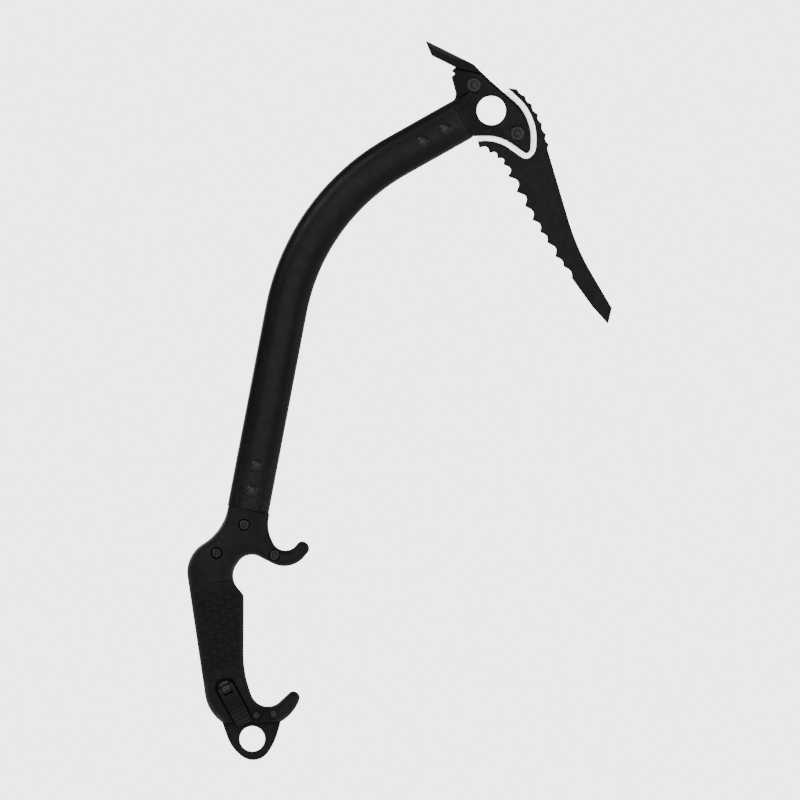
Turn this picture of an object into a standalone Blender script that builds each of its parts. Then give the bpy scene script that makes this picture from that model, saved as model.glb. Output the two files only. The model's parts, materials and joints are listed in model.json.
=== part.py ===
"""Technical ice axe: a bent oval shaft, a forged fork head with a toothed pick and a small adze,
and a hooked handle whose lower rest slides down the handle and is locked by a cam lever.

The side view lies in the XZ plane with the pick towards +X, and the tool's thickness runs along Y.
The origin is the centre of the round eye through the head. Sizes are in millimetres, and MM turns
them into metres when a mesh is made."""

import math

import bpy
import bmesh
import numpy as np
from mathutils import Matrix, Vector
from mathutils.geometry import delaunay_2d_cdt

MM = 0.001
GAP = 0.3
SAGITTA = 0.1
THROUGH = 30.0

# Shaft: an oval tube on a centre line of two straight legs joined by one bend.
SHAFT_CORNER = Vector((-129.9, -67.8))
UPPER_SLOPE = math.radians(29.37)
LOWER_LEAN = math.radians(10.8)
BEND_RADIUS = 156.7
UPPER_LEG = 125.0
LOWER_LEG = 215.0
TUBE_DEPTH = 29.4
TUBE_WIDTH = 21.0
TUBE_WALL = 1.7
OVALNESS = 2.35
STUB_LENGTH = 42.0

# Head: cheeks either side of a slot that holds the pick's tang.
CHEEK_HALF = 7.75
SLOT_HALF = 2.3
EYE_RADIUS = 10.2
EYE_CHAMFER = 0.9
NECK_LENGTH = 24.0
HEAD_BEVEL = 1.4
HEAD_EDGE_HALF = 1.2
NECK_GRID = (3.4, 2.15)
HEAD_BACK_AND_TOP = [
    (-25.7, 7.2, 5.6), (-24.7, 11.8, 6.2), (-27.9, 23.5, 1.2), (-25.3, 25.7, 0.4),
    (-27.8, 27.6, 0.4), (-25.3, 29.7, 0.3), (-6.0, 26.1, 0),
]
HEAD_FRONT = [
    (-0.6, 20.8, 20.0), (21.6, 1.5, 33.1), (28.5, -13.7, 37.4), (27.1, -28.6, 10.1),
    (24.5, -30.3, 4.5), (6.4, -17.6, 30.6), (-9.8, -17.8, 1.9),
]
SLOT_OUTLINE = [
    (-13.9, -26.0, 0), (-13.9, 6.0, 3.0), (-20.6, 13.0, 4.0), (-21.6, 40.0, 0),
    (40.0, 40.0, 0), (40.0, -40.0, 0), (-13.9, -40.0, 0),
]

# Pick: a blade stepped down to a thinner tang where the head's cheeks close over it.
BLADE_HALF = 2.5
BLADE_TIP_HALF = 1.6
BLADE_CHAMFER = 0.6
TANG_HALF = 2.0
LOWER_TEETH = [
    (-8.4, -26.1, 0.51, 3.0), (-1.3, -29.7, 0.58, 2.2), (4.3, -33.4, 0.60, 1.6), (8.5, -37.8, 0.60, 3.0),
    (11.6, -46.1, 0.50, 4.0), (17.6, -57.0, 0.45, 3.5), (23.6, -66.9, 0.38, 4.0), (28.8, -76.7, 0.40, 4.0),
    (34.3, -85.1, 0.33, 4.0), (39.3, -92.5, 0.36, 3.5), (44.8, -102.3, 0.29, 5.0), (50.7, -109.1, 0.27, 5.0),
    (56.5, -117.5, 0, 0),
]
LOWER_NOTCH_PLACE = 0.57
UPPER_TEETH = [
    (40.2, -23.8, 0.27, 3.5), (38.3, -16.7, 0.22, 4.0), (35.4, -9.1, 0.28, 3.5), (32.7, -2.6, 0.28, 5.0),
    (28.4, 4.3, 0.26, 4.0), (23.7, 9.9, 0.14, 6.0), (17.8, 14.9, 0.03, 0), (11.4, 16.0, 0, 0),
]
UPPER_NOTCH_PLACE = 0.53
BLADE_POINT = [
    (71.0, -137.6, 6.9), (81.7, -149.4, 0.5), (84.4, -138.3, 0.5), (59.9, -96.6, 165.8), (39.2, -26.7, 0.8),
]
SEAT_EDGE = [
    (24.1, 3.7, 29.9), (32.0, -10.9, 38.6), (30.9, -29.8, 12.6), (24.2, -34.6, 6.8), (2.8, -19.4, 29.7),
]
TANG_OUTLINE = [
    (-13.5, -17.4, 1.0), (-9.4, -17.4, 0), (-9.4, -23.5, 0), (2.8, -22.5, 28.0), (24.2, -38.0, 8.0),
    (33.5, -32.0, 14.0), (34.5, -10.0, 40.0), (25.5, 6.0, 32.0), (12.5, 15.0, 0), (9.0, 12.0, 0),
    (-0.8, 20.2, 20.0), (-3.2, 22.6, 0), (-6.4, 10.9, 0), (-13.5, 5.0, 3.0),
]
ADZE_TANG_OUTLINE = [
    (-3.8, 23.6, 0), (-6.9, 11.5, 0), (-13.5, 6.1, 2.0), (-20.1, 13.2, 4.0), (-21.2, 31.0, 0),
    (-10.0, 30.0, 0),
]

# Adze: a dished blade standing on the back of the head.
ADZE_TIP = Vector((-45.7, 48.9))
ADZE_FRONT = Vector((-12.4, 32.4))
ADZE_FOOT = Vector((-7.2, 27.0))
ADZE_DEPTH = 7.3
ADZE_FOOT_DEPTH = 4.9
ADZE_DROOP = 3.4
ADZE_BEVEL = 8.2
ADZE_EDGE_HALF = 17.0
ADZE_ROOT_HALF = 8.2

# Pick fasteners: a socket bolt from the right cheek and a nut on the left one.
BOLT_FRONT = Vector((18.5, -16.0))
BOLT_REAR = Vector((-12.0, 18.0))
BOLT_SHANK = 3.0
BOLT_HEAD = 5.2
BOLT_HEAD_HEIGHT = 3.4
NUT_HEIGHT = 3.6
HOLE_PLAY = 0.3
BOLT_SOCKET = 2.9
BOLT_SOCKET_DEPTH = 2.2
BOLT_END = 0.8
NUT_RADIUS = 5.6
NUT_CHAMFER = 0.5

# Rivets across the tube, measured from each end of the tube.
RIVET_RADIUS = 2.5
RIVET_HEAD = 4.3
RIVET_DOME = 1.5
RIVET_INSETS = (13.0, 31.0)

# Handle: the side outline of the whole grip, from the shaft's back down round to its front.
HANDLE_BACK = [
    (-180.2, -255.0, 0), (-187.4, -294.2, 37.9), (-214.8, -311.6, 23.2), (-198.8, -419.6, 28.1),
    (-188.6, -428.3, 0),
]
HANDLE_FRONT = [
    (-147.0, -427.7, 0), (-138.0, -421.9, 30.9), (-127.2, -394.2, 4.8), (-161.1, -426.1, 12.3),
    (-173.5, -395.0, 78.7), (-173.2, -339.3, 4.3), (-183.6, -326.8, 12.8), (-171.8, -307.4, 11.3),
    (-140.3, -323.6, 18.2), (-125.8, -306.2, 4.9), (-133.0, -299.2, 4.9), (-145.7, -318.7, 10.7),
    (-157.2, -293.5, 26.2), (-150.5, -254.9, 0),
]
HANDLE_HALF = 14.0
HOOK_TAPER = 0.115
COLLAR_STEP = 2.6
COLLAR_LENGTH = 22.0
CROWN_REACH = 11.0
RIM_HALF = 1.6
SLEEVE_TOP = -331.0
CROWN_RINGS = (1.0, 3.6, 8.0)
CROWN_GRID = (5.6, 4.9)

# Screws of the pommel shells: place, depth of the head's seat, depth of the thread in the left shell.
POMMEL_SCREWS = {
    "top": (Vector((-173.0, -290.0)), 9.0, 9.0),
    "rear": (Vector((-192.3, -309.8)), 9.0, 9.0),
    "hook": (Vector((-151.8, -311.2)), 5.0, 4.4),
}
SCREW_SHANK = 2.0
SCREW_HEAD = 3.6
SCREW_HEAD_HEIGHT = 2.8
SCREW_SOCKET_DEPTH = 1.6

# Handle axis, along which the lower rest slides.
REST_SEAT = Vector((-186.4, -397.8))
HANDLE_LEAN = math.radians(8.3)
BAR_HALF_DEPTH = 8.5
BAR_HALF_WIDTH = 5.0
REST_TRAVEL = 10.0
CLAMP_DROP = 7.5
BAR_DROP = 23.5

# Cam lever that clamps the lower rest.
LEVER_TILT = math.radians(-62.0)
LEVER_LENGTH = 27.0
LEVER_HALF_WIDTH = 6.0
LAND_DEPTH = 8.0
NUT_LAND_DEPTH = 9.5
NUT_LAND_RADIUS = 7.6
WASHER_THICKNESS = 1.5
CAM_RADIUS = 4.0
PIN_RADIUS = 2.0
PIN_CHAMFER = 0.3
EYE_HALF = 2.8
CLAMP_EYE_RADIUS = 3.8

# Eyelet plate at the foot.
EYELET_CENTRE = Vector((-167.3, -439.8))
EYELET_RADIUS = 8.9
EYELET_HALF = 2.0
EYELET_RIVET_RADIUS = 2.0
EYELET_RIVET_REACH = 9.4
EYELET_RIVET_CHAMFER = 0.4
EYELET_RIVETS = (Vector((-164.5, -423.6)), Vector((-152.4, -422.4)))
EYELET_OUTLINE = [
    (-188.3, -424.6, 0), (-188.3, -428.5, 0), (-181.6, -447.0, 28.6), (-163.7, -459.6, 12.9),
    (-151.8, -443.0, 44.0), (-147.3, -427.6, 0), (-147.6, -416.0, 3.0), (-157.0, -418.9, 6.0),
    (-169.6, -419.8, 3.0), (-172.0, -424.6, 1.5),
]

BLACK = (0.022, 0.022, 0.024)


# ---------------------------------------------------------------- outlines

def setback(before, corner, after, radius):
    """How far from its corner a fillet starts."""
    half = (before - corner).angle(after - corner) / 2
    return radius / math.tan(half) if half < math.radians(89.5) else 0.0


def fillet(before, corner, after, radius):
    """Points of the arc that rounds one corner, or the corner itself."""
    to_before = (before - corner).normalized()
    to_after = (after - corner).normalized()
    half = to_before.angle(to_after) / 2
    if radius <= 0 or half > math.radians(89.5):
        return [corner]
    centre = corner + (to_before + to_after).normalized() * (radius / math.sin(half))
    start = corner + to_before * (radius / math.tan(half)) - centre
    end = corner + to_after * (radius / math.tan(half)) - centre
    turn = start.angle_signed(end)
    steps = max(1, math.ceil(abs(turn) / (2 * math.acos(max(0.5, 1 - SAGITTA / radius)))))
    # angle_signed is positive clockwise, so the arc turns by its negative.
    return [centre + Matrix.Rotation(-turn * k / steps, 2) @ start for k in range(steps + 1)]


def rounded(corners, closed=True):
    """Outline through (x, z, fillet radius) corners; fillets that would run into each other shrink."""
    spots = [Vector((x, z)) for x, z, _ in corners]
    count = len(spots)
    radii = [radius for _, _, radius in corners]
    if not closed:
        radii[0] = radii[-1] = 0
    setbacks = [setback(spots[k - 1], spots[k], spots[(k + 1) % count], radii[k]) for k in range(count)]
    shares = [1.0] * count
    for k in range(count if closed else count - 1):
        after = (k + 1) % count
        needed = setbacks[k] + setbacks[after]
        if needed > 0:
            fit = min(1.0, 0.98 * (spots[after] - spots[k]).length / needed)
            shares[k] = min(shares[k], fit)
            shares[after] = min(shares[after], fit)
    points = []
    for k in range(count):
        points += fillet(spots[k - 1], spots[k], spots[(k + 1) % count], radii[k] * shares[k])
    return points


def toothed(row, place):
    """Corners of a row of teeth: each tip, then the rounded notch that follows it."""
    corners = []
    for (x, z, depth, radius), (next_x, next_z, _, _) in zip(row[:-1], row[1:]):
        step = Vector((next_x - x, next_z - z))
        inward = Vector((-step.y, step.x))
        notch = Vector((x, z)) + step * place + inward * depth
        corners += [(x, z, 0), (notch.x, notch.y, radius)]
    return corners + [(row[-1][0], row[-1][1], 0)]


def circle(centre, radius, count=16):
    angles = [2 * math.pi * k / count for k in range(count)]
    return [centre + Vector((math.cos(a), math.sin(a))) * radius for a in angles]


def spaced(points, spacing, closed=True):
    """The same outline with its long straight stretches divided."""
    result = []
    ends = points[1:] + points[:1] if closed else points[1:]
    for start, end in zip(points, ends):
        parts = max(1, round((end - start).length / spacing))
        result += [start.lerp(end, k / parts) for k in range(parts)]
    return result if closed else result + [points[-1]]


def is_inside(loop, point):
    """Whether a point lies within a closed outline, by counting crossings."""
    crossings = 0
    for start, end in zip(loop, loop[1:] + loop[:1]):
        if (start.y > point.y) != (end.y > point.y):
            reach = start.x + (point.y - start.y) * (end.x - start.x) / (end.y - start.y)
            crossings += point.x < reach
    return crossings % 2 == 1


class Rim:
    """Distance from a point to a set of polylines."""

    def __init__(self, lines, closed=True):
        starts = []
        ends = []
        for line in lines:
            starts += line if closed else line[:-1]
            ends += line[1:] + line[:1] if closed else line[1:]
        self.start = np.array([tuple(p) for p in starts])
        self.span = np.array([tuple(p) for p in ends]) - self.start
        self.square = np.maximum((self.span ** 2).sum(axis=1), 1e-9)

    def distance(self, point):
        offset = np.array(tuple(point)) - self.start
        share = np.clip((offset * self.span).sum(axis=1) / self.square, 0, 1)
        nearest = offset - self.span * share[:, None]
        return float(np.sqrt((nearest ** 2).sum(axis=1).min()))


def inset_ring(loop, depth):
    """Each outline corner moved inward by depth, or None where the outline is too tight."""
    rim = Rim([loop])
    ring = []
    for before, corner, after in zip(loop[-1:] + loop[:-1], loop, loop[1:] + loop[:1]):
        along = (corner - before).normalized() + (after - corner).normalized()
        if along.length < 0.2:
            ring.append(None)
            continue
        normal = Vector((-along.y, along.x)).normalized()
        slant = max(0.35, along.length / 2)
        options = [corner + normal * (side * depth / slant) for side in (1, -1)]
        good = [p for p in options if is_inside(loop, p) and rim.distance(p) > 0.97 * depth]
        ring.append(good[0] if good else None)
    return ring


# ---------------------------------------------------------------- meshes

def material(name, colour, roughness, metallic):
    made = bpy.data.materials.new(name)
    made.use_nodes = True
    shader = made.node_tree.nodes["Principled BSDF"]
    shader.inputs["Base Color"].default_value = (*colour, 1)
    shader.inputs["Roughness"].default_value = roughness
    shader.inputs["Metallic"].default_value = metallic
    return made


def solid(name, vertices, faces, finish):
    """A named object from millimetre vertices, faces pointing out, shaded smooth between edges."""
    mesh = bpy.data.meshes.new(name)
    mesh.from_pydata([Vector(v) * MM for v in vertices], [], faces)
    work = bmesh.new()
    work.from_mesh(mesh)
    bmesh.ops.recalc_face_normals(work, faces=work.faces)
    work.to_mesh(mesh)
    work.free()
    mesh.shade_smooth()
    mesh.set_sharp_from_angle(angle=math.radians(32))
    mesh.materials.append(finish)
    made = bpy.data.objects.new(name, mesh)
    bpy.context.scene.collection.objects.link(made)
    return made


def relief(name, outline, front, back, finish, holes=(), rings=(), seeds=(), soft=None):
    """Solid inside an outline, from y = back(x, z) to y = front(x, z), with through holes.

    rings are inset lines kept as edges, seeds are loose interior points, and soft(point) says
    where the faces' heights are evened out with their neighbours'."""
    points = []
    edges = []
    for loop in [outline, *holes]:
        first = len(points)
        points += loop
        edges += [(first + k, first + (k + 1) % len(loop)) for k in range(len(loop))]
    for ring in rings:
        first = len(points)
        kept = [k for k, p in enumerate(ring) if p is not None]
        places = {k: first + i for i, k in enumerate(kept)}
        points += [ring[k] for k in kept]
        edges += [(places[k], places[(k + 1) % len(ring)]) for k in kept if (k + 1) % len(ring) in places]
    points += seeds
    flat, _, triangles = delaunay_2d_cdt(points, edges, [], 1, 1e-5)[:3]

    def kept_face(face):
        middle = (flat[face[0]] + flat[face[1]] + flat[face[2]]) / 3
        return is_inside(outline, middle) and not any(is_inside(hole, middle) for hole in holes)

    triangles = [tuple(face) for face in triangles if kept_face(face)]
    used = sorted({index for face in triangles for index in face})
    rename = {index: place for place, index in enumerate(used)}
    flat = [flat[index] for index in used]
    triangles = [tuple(rename[index] for index in face) for face in triangles]
    directed = {(a, b) for face in triangles for a, b in zip(face, face[1:] + face[:1])}
    border = [(a, b) for a, b in directed if (b, a) not in directed]
    free = [index for index, p in enumerate(flat) if soft and soft(p)]
    count = len(flat)
    heights = [relaxed([surface(p) for p in flat], directed, free) for surface in (front, back)]
    vertices = [(p.x, y, p.y) for level in heights for p, y in zip(flat, level)]
    faces = list(triangles)
    faces += [tuple(count + index for index in reversed(face)) for face in triangles]
    faces += [(b, a, count + a, count + b) for a, b in sorted(border)]
    return solid(name, vertices, faces, finish)


def relaxed(levels, directed, free, passes=3):
    """Heights averaged with their neighbours, so that a crown has no ridge down its middle."""
    neighbours = {index: set() for index in free}
    for a, b in directed:
        if a in neighbours:
            neighbours[a].add(b)
        if b in neighbours:
            neighbours[b].add(a)
    for _ in range(passes):
        means = {i: sum(levels[j] for j in near) / len(near) for i, near in neighbours.items()}
        levels = [(y + means[i]) / 2 if i in means else y for i, y in enumerate(levels)]
    return levels


def plate(name, outline, low, high, finish, holes=(), chamfer=0.0):
    """Flat plate from y = low to y = high, with its edges bevelled by chamfer."""
    rim = Rim([outline])
    rings = [inset_ring(outline, chamfer)] if chamfer else []

    def drop(point):
        return max(0.0, chamfer - rim.distance(point)) if chamfer else 0.0

    return relief(name, outline, lambda p: high - drop(p), lambda p: low + drop(p), finish, holes, rings)


def loft(name, rings, finish, bore=()):
    """Skin over a row of closed rings; bore gives matching rings of a hollow inside."""
    size = len(rings[0])
    vertices = [v for ring in rings for v in ring]
    faces = skin(0, len(rings), size)
    last = (len(rings) - 1) * size
    if not bore:
        faces += [tuple(range(size)), tuple(last + k for k in reversed(range(size)))]
        return solid(name, vertices, faces, finish)
    inner = len(vertices)
    vertices += [v for ring in bore for v in ring]
    faces += skin(inner, len(bore), size)
    inner_last = inner + (len(bore) - 1) * size
    for outer, hollow in ((0, inner), (last, inner_last)):
        for k in range(size):
            after = (k + 1) % size
            faces.append((outer + k, outer + after, hollow + after, hollow + k))
    return solid(name, vertices, faces, finish)


def skin(first, count, size):
    """Quads between count rings of size vertices each."""
    faces = []
    for row in range(count - 1):
        for k in range(size):
            a = first + row * size + k
            b = first + row * size + (k + 1) % size
            faces.append((a, b, b + size, a + size))
    return faces


def spokes(axis, count):
    """Unit vectors square to an axis, evenly round it."""
    side = Vector((1, 0, 0)) if abs(axis.y) > 0.9 else axis.orthogonal().normalized()
    across = axis.cross(side)
    turns = [2 * math.pi * (k + 0.5) / count for k in range(count)]
    return [side * math.cos(t) + across * math.sin(t) for t in turns]


def turned(name, profile, centre, axis, finish, count=16):
    """Solid of revolution: profile is (radius, distance along axis), closed by flat ends."""
    axis = Vector(axis).normalized()
    around = spokes(axis, count)
    rings = [[centre + axis * along + spoke * radius for spoke in around] for radius, along in profile]
    return loft(name, rings, finish)


def ring_solid(name, profile, centre, axis, finish, count=18):
    """Ring of revolution: profile is a closed loop of (radius, distance along axis)."""
    axis = Vector(axis).normalized()
    size = len(profile)
    vertices = []
    for spoke in spokes(axis, count):
        vertices += [centre + axis * along + spoke * radius for radius, along in profile]
    faces = []
    for k in range(count):
        here = k * size
        there = ((k + 1) % count) * size
        for j in range(size):
            after = (j + 1) % size
            faces.append((here + j, here + after, there + after, there + j))
    return solid(name, vertices, faces, finish)


def combine(target, tool, operation):
    """Boolean modifier on target; the tool is hidden and left out of the object."""
    step = target.modifiers.new(operation.lower(), "BOOLEAN")
    step.operation = operation
    step.solver = "EXACT"
    step.object = tool
    tool.hide_render = True
    tool.display_type = "WIRE"


def cut(target, *tools):
    for tool in tools:
        combine(target, tool, "DIFFERENCE")


def join(target, tool):
    combine(target, tool, "UNION")


def drill(name, place, radius, low=-THROUGH, high=THROUGH, count=16):
    """Round cutter along Y, right through or between two levels."""
    middle = Vector((place.x, 0, place.y))
    return turned(name, [(radius, low), (radius, high)], middle, (0, 1, 0), CUTTER, count)


# ---------------------------------------------------------------- shaft

def upper_direction():
    return Vector((math.cos(UPPER_SLOPE), math.sin(UPPER_SLOPE)))


def lower_direction():
    return Vector((-math.sin(LOWER_LEAN), -math.cos(LOWER_LEAN)))


def mouth():
    """Centre of the tube's upper end."""
    return SHAFT_CORNER + upper_direction() * UPPER_LEG


def tail():
    """Centre of the tube's lower end."""
    return SHAFT_CORNER + lower_direction() * LOWER_LEG


def shaft_stations():
    """(centre, direction) along the tube, from the head down to the handle."""
    start = -upper_direction()
    end = lower_direction()
    tangent = BEND_RADIUS * math.tan(start.angle(end) / 2)
    entry = SHAFT_CORNER - start * tangent
    centre = entry + Vector((-start.y, start.x)) * BEND_RADIUS
    turn = start.angle(end)
    steps = math.ceil(turn / (2 * math.acos(1 - SAGITTA / BEND_RADIUS)))
    stations = [(mouth(), start)]
    for k in range(steps + 1):
        rotation = Matrix.Rotation(turn * k / steps, 2)
        stations.append((centre + rotation @ (entry - centre), rotation @ start))
    return stations + [(tail(), end)]


def oval(centre, direction, half_depth, half_width, count=24):
    """Superellipse ring square to a direction in the side view."""
    outward = Vector((-direction.y, direction.x))
    ring = []
    for k in range(count):
        turn = 2 * math.pi * k / count
        deep = math.copysign(abs(math.cos(turn)) ** (2 / OVALNESS), math.cos(turn)) * half_depth
        wide = math.copysign(abs(math.sin(turn)) ** (2 / OVALNESS), math.sin(turn)) * half_width
        spot = centre + outward * deep
        ring.append(Vector((spot.x, wide, spot.y)))
    return ring


def make_shaft():
    stations = shaft_stations()
    outer = [oval(c, d, TUBE_DEPTH / 2, TUBE_WIDTH / 2) for c, d in stations]
    inner = [oval(c, d, TUBE_DEPTH / 2 - TUBE_WALL, TUBE_WIDTH / 2 - TUBE_WALL) for c, d in stations]
    tube = loft("shaft_tube", outer, ANODISED, inner)
    for place in rivet_places():
        cut(tube, drill("shaft_rivet_hole", place, RIVET_RADIUS + HOLE_PLAY))


def rivet_places():
    """Side-view centres of the cross rivets: two at the head, then two at the handle."""
    upper = [mouth() - upper_direction() * inset for inset in RIVET_INSETS]
    lower = [tail() - lower_direction() * inset for inset in RIVET_INSETS]
    return upper + lower


def make_rivets():
    names = ("head_rivet_upper", "head_rivet_lower", "handle_rivet_lower", "handle_rivet_upper")
    face = TUBE_WIDTH / 2 + GAP
    end = [
        (RIVET_RADIUS, face), (RIVET_HEAD, face), (RIVET_HEAD * 0.93, face + RIVET_DOME * 0.5),
        (RIVET_HEAD * 0.6, face + RIVET_DOME),
    ]
    profile = [(r, -y) for r, y in reversed(end)] + end
    for name, place in zip(names, rivet_places()):
        turned(name, profile, Vector((place.x, 0, place.y)), (0, 1, 0), ZINC, 12)


def stub(name, centre, direction, length, root):
    """Plug that fills the tube from centre along direction, with a lead-in and a root behind it."""
    depth = TUBE_DEPTH / 2 - TUBE_WALL - GAP
    width = TUBE_WIDTH / 2 - TUBE_WALL - GAP
    rings = []
    for along, shrink in ((-root, 0), (length - 2, 0), (length, 1.5)):
        rings.append(oval(centre + direction * along, direction, depth - shrink, width - shrink))
    return loft(name, rings, CUTTER)


# ---------------------------------------------------------------- head, pick and adze

def head_outline():
    square = Vector((-upper_direction().y, upper_direction().x)) * (TUBE_DEPTH / 2)
    start = mouth() + upper_direction() * GAP
    top = start + square
    bottom = start - square
    return rounded([(top.x, top.y, 0), *HEAD_BACK_AND_TOP, *HEAD_FRONT, (bottom.x, bottom.y, 0)])


def neck_half(point):
    """Half thickness of the head: the tube's oval at the mouth, easing into flat cheeks."""
    offset = point - mouth()
    along = offset.dot(upper_direction())
    across = abs(offset.cross(upper_direction())) / (TUBE_DEPTH / 2)
    tube = TUBE_WIDTH / 2 * max(0.0, 1 - min(1.0, across) ** OVALNESS) ** (1 / OVALNESS)
    share = min(1.0, max(0.0, along / NECK_LENGTH))
    ease = share * share * (3 - 2 * share)
    return tube * (1 - ease) + CHEEK_HALF * ease


def neck_seeds(outline, holes):
    """Grid of points over the neck, where the oval eases into the cheeks."""
    square = Vector((-upper_direction().y, upper_direction().x))
    whole = Rim([outline, *holes])
    seeds = []
    for row in range(7):
        for column in range(-6, 7):
            along = 0.8 + row * NECK_GRID[0]
            spot = mouth() + upper_direction() * along + square * (column * NECK_GRID[1])
            if is_inside(outline, spot) and whole.distance(spot) > 2.4:
                if not any(is_inside(hole, spot) for hole in holes):
                    seeds.append(spot)
    return seeds


def make_head():
    outline = spaced(head_outline(), 5.0)
    eye = circle(Vector((0, 0)), EYE_RADIUS, 32)
    eye_rim = circle(Vector((0, 0)), EYE_RADIUS + EYE_CHAMFER, 32)
    holes = [eye] + [circle(spot, BOLT_SHANK + HOLE_PLAY) for spot in (BOLT_FRONT, BOLT_REAR)]
    rim = Rim([outline[1:]], closed=False)
    eye_edge = Rim([eye])

    def surface(point):
        bevel = max(0.0, HEAD_BEVEL - rim.distance(point))
        eye_bevel = max(0.0, EYE_CHAMFER - eye_edge.distance(point))
        return max(HEAD_EDGE_HALF, neck_half(point) - bevel - eye_bevel)

    rings = [inset_ring(outline, HEAD_BEVEL), eye_rim]
    seeds = neck_seeds(outline, holes)
    head = relief("head_body", outline, surface, lambda p: -surface(p), BLACK_STEEL, holes, rings, seeds)
    join(head, stub("head_stub", mouth() + upper_direction() * GAP, -upper_direction(), STUB_LENGTH, 4.0))
    cut(head, plate("head_slot", rounded(SLOT_OUTLINE), -SLOT_HALF, SLOT_HALF, CUTTER))
    for place in rivet_places()[:2]:
        cut(head, drill("head_rivet_hole", place, RIVET_RADIUS + HOLE_PLAY))


def blade_half(point):
    """Half thickness of the blade, thinning towards its point."""
    share = min(1.0, max(0.0, (-20 - point.y) / 125))
    return BLADE_HALF + (BLADE_TIP_HALF - BLADE_HALF) * share


def make_pick():
    lower = toothed(LOWER_TEETH, LOWER_NOTCH_PLACE)
    upper = toothed(UPPER_TEETH, UPPER_NOTCH_PLACE)
    corners = [(-9.4, -21.6, 0)] + lower + BLADE_POINT + upper + SEAT_EDGE
    outline = spaced(rounded(corners), 9.0)
    rim = Rim([outline])

    def surface(point):
        return blade_half(point) - max(0.0, BLADE_CHAMFER - rim.distance(point))

    rings = [inset_ring(outline, BLADE_CHAMFER)]
    pick = relief("pick", outline, surface, lambda p: -surface(p), BLACK_STEEL, (), rings)
    eye = circle(Vector((0, 0)), EYE_RADIUS, 32)
    front_hole = circle(BOLT_FRONT, BOLT_SHANK + HOLE_PLAY)
    join(pick, plate("pick_tang", rounded(TANG_OUTLINE), -TANG_HALF, TANG_HALF, CUTTER, [eye, front_hole]))


def make_adze():
    """Dished blade, lofted from its foot on the head to its sharpened edge."""
    along = (ADZE_TIP - ADZE_FRONT).normalized()
    down = Vector((-along.y, along.x))
    length = (ADZE_TIP - ADZE_FRONT).length
    columns = 9

    def section(place, half, droop, thickness):
        top = []
        bottom = []
        for k in range(columns):
            share = 2 * k / (columns - 1) - 1
            high = place + down * (droop * share * share)
            low = high + down * thickness
            top.append(Vector((high.x, half * share, high.y)))
            bottom.append(Vector((low.x, half * share, low.y)))
        return top + bottom[::-1]

    rings = [section(ADZE_FOOT, CHEEK_HALF - 0.5, 0, 0.6)]
    for share in (0.0, 0.12, 0.26, 0.42, 0.6, 1 - ADZE_BEVEL / length):
        half = ADZE_ROOT_HALF + (ADZE_EDGE_HALF - ADZE_ROOT_HALF) * (1 - (1 - share) ** 2)
        droop = ADZE_DROOP * min(1.0, max(0.0, share - 0.12) / 0.3)
        depth = min(ADZE_DEPTH, ADZE_FOOT_DEPTH + (ADZE_DEPTH - ADZE_FOOT_DEPTH) * share / 0.26)
        rings.append(section(ADZE_FRONT.lerp(ADZE_TIP, share), half, droop, depth - droop))
    rings.append(section(ADZE_TIP - along * 0.3, ADZE_EDGE_HALF, 0.2, 0.6))
    adze = loft("adze", rings, BLACK_STEEL)
    hole = circle(BOLT_REAR, BOLT_SHANK + HOLE_PLAY)
    join(adze, plate("adze_tang", rounded(ADZE_TANG_OUTLINE), -TANG_HALF, TANG_HALF, CUTTER, [hole]))


def make_pick_fasteners():
    face = CHEEK_HALF + GAP
    for label, place in (("front", BOLT_FRONT), ("rear", BOLT_REAR)):
        middle = Vector((place.x, 0, place.y))
        head = face + BOLT_HEAD_HEIGHT
        profile = [
            (BOLT_SHANK, -face - NUT_HEIGHT - BOLT_END), (BOLT_SHANK, face), (BOLT_HEAD, face),
            (BOLT_HEAD, head - BOLT_END), (BOLT_HEAD - BOLT_END, head),
        ]
        bolt = turned(f"pick_bolt_{label}", profile, middle, (0, -1, 0), ZINC)
        socket = [(BOLT_SOCKET, head - BOLT_SOCKET_DEPTH), (BOLT_SOCKET, head + 1)]
        cut(bolt, turned("bolt_socket", socket, middle, (0, -1, 0), CUTTER, 6))
        end = face + NUT_HEIGHT
        bore = BOLT_SHANK + HOLE_PLAY
        nut_profile = [
            (bore, face), (NUT_RADIUS, face), (NUT_RADIUS, end - NUT_CHAMFER),
            (NUT_RADIUS - NUT_CHAMFER, end), (bore, end),
        ]
        ring_solid(f"pick_nut_{label}", nut_profile, middle, (0, 1, 0), ZINC, 12)


# ---------------------------------------------------------------- handle

def handle_direction():
    """Down the handle, the way the lower rest slides."""
    return Vector((math.sin(HANDLE_LEAN), -math.cos(HANDLE_LEAN)))


def handle_across():
    return Vector((math.cos(HANDLE_LEAN), math.sin(HANDLE_LEAN)))


def handle_point(down, forward=0.0):
    """Place given by its distance below the rest's seat and its distance to the front."""
    return REST_SEAT + handle_direction() * down + handle_across() * forward


def body_half(point):
    """Half width of the handle, less towards its hooks' tips and where it meets the tube."""
    forward = (point - REST_SEAT).dot(handle_across())
    below_tube = (point - tail()).dot(lower_direction())
    collar = COLLAR_STEP * max(0.0, 1 - below_tube / COLLAR_LENGTH) ** 2
    return HANDLE_HALF - HOOK_TAPER * max(0.0, forward - 14.0) - collar


def clipped(outline, place, normal):
    """The part of an outline on the side of a line that its normal points to."""
    kept = []
    for start, end in zip(outline, outline[1:] + outline[:1]):
        a = (start - place).dot(normal)
        b = (end - place).dot(normal)
        if a >= 0:
            kept.append(start)
        if (a >= 0) != (b >= 0):
            kept.append(start.lerp(end, a / (a - b)))
    return kept


def handle_silhouette():
    """Back and front edges of the handle, as two open lines."""
    return [spaced(rounded(line, False), 5.0, False) for line in (HANDLE_BACK, HANDLE_FRONT)]


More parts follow.
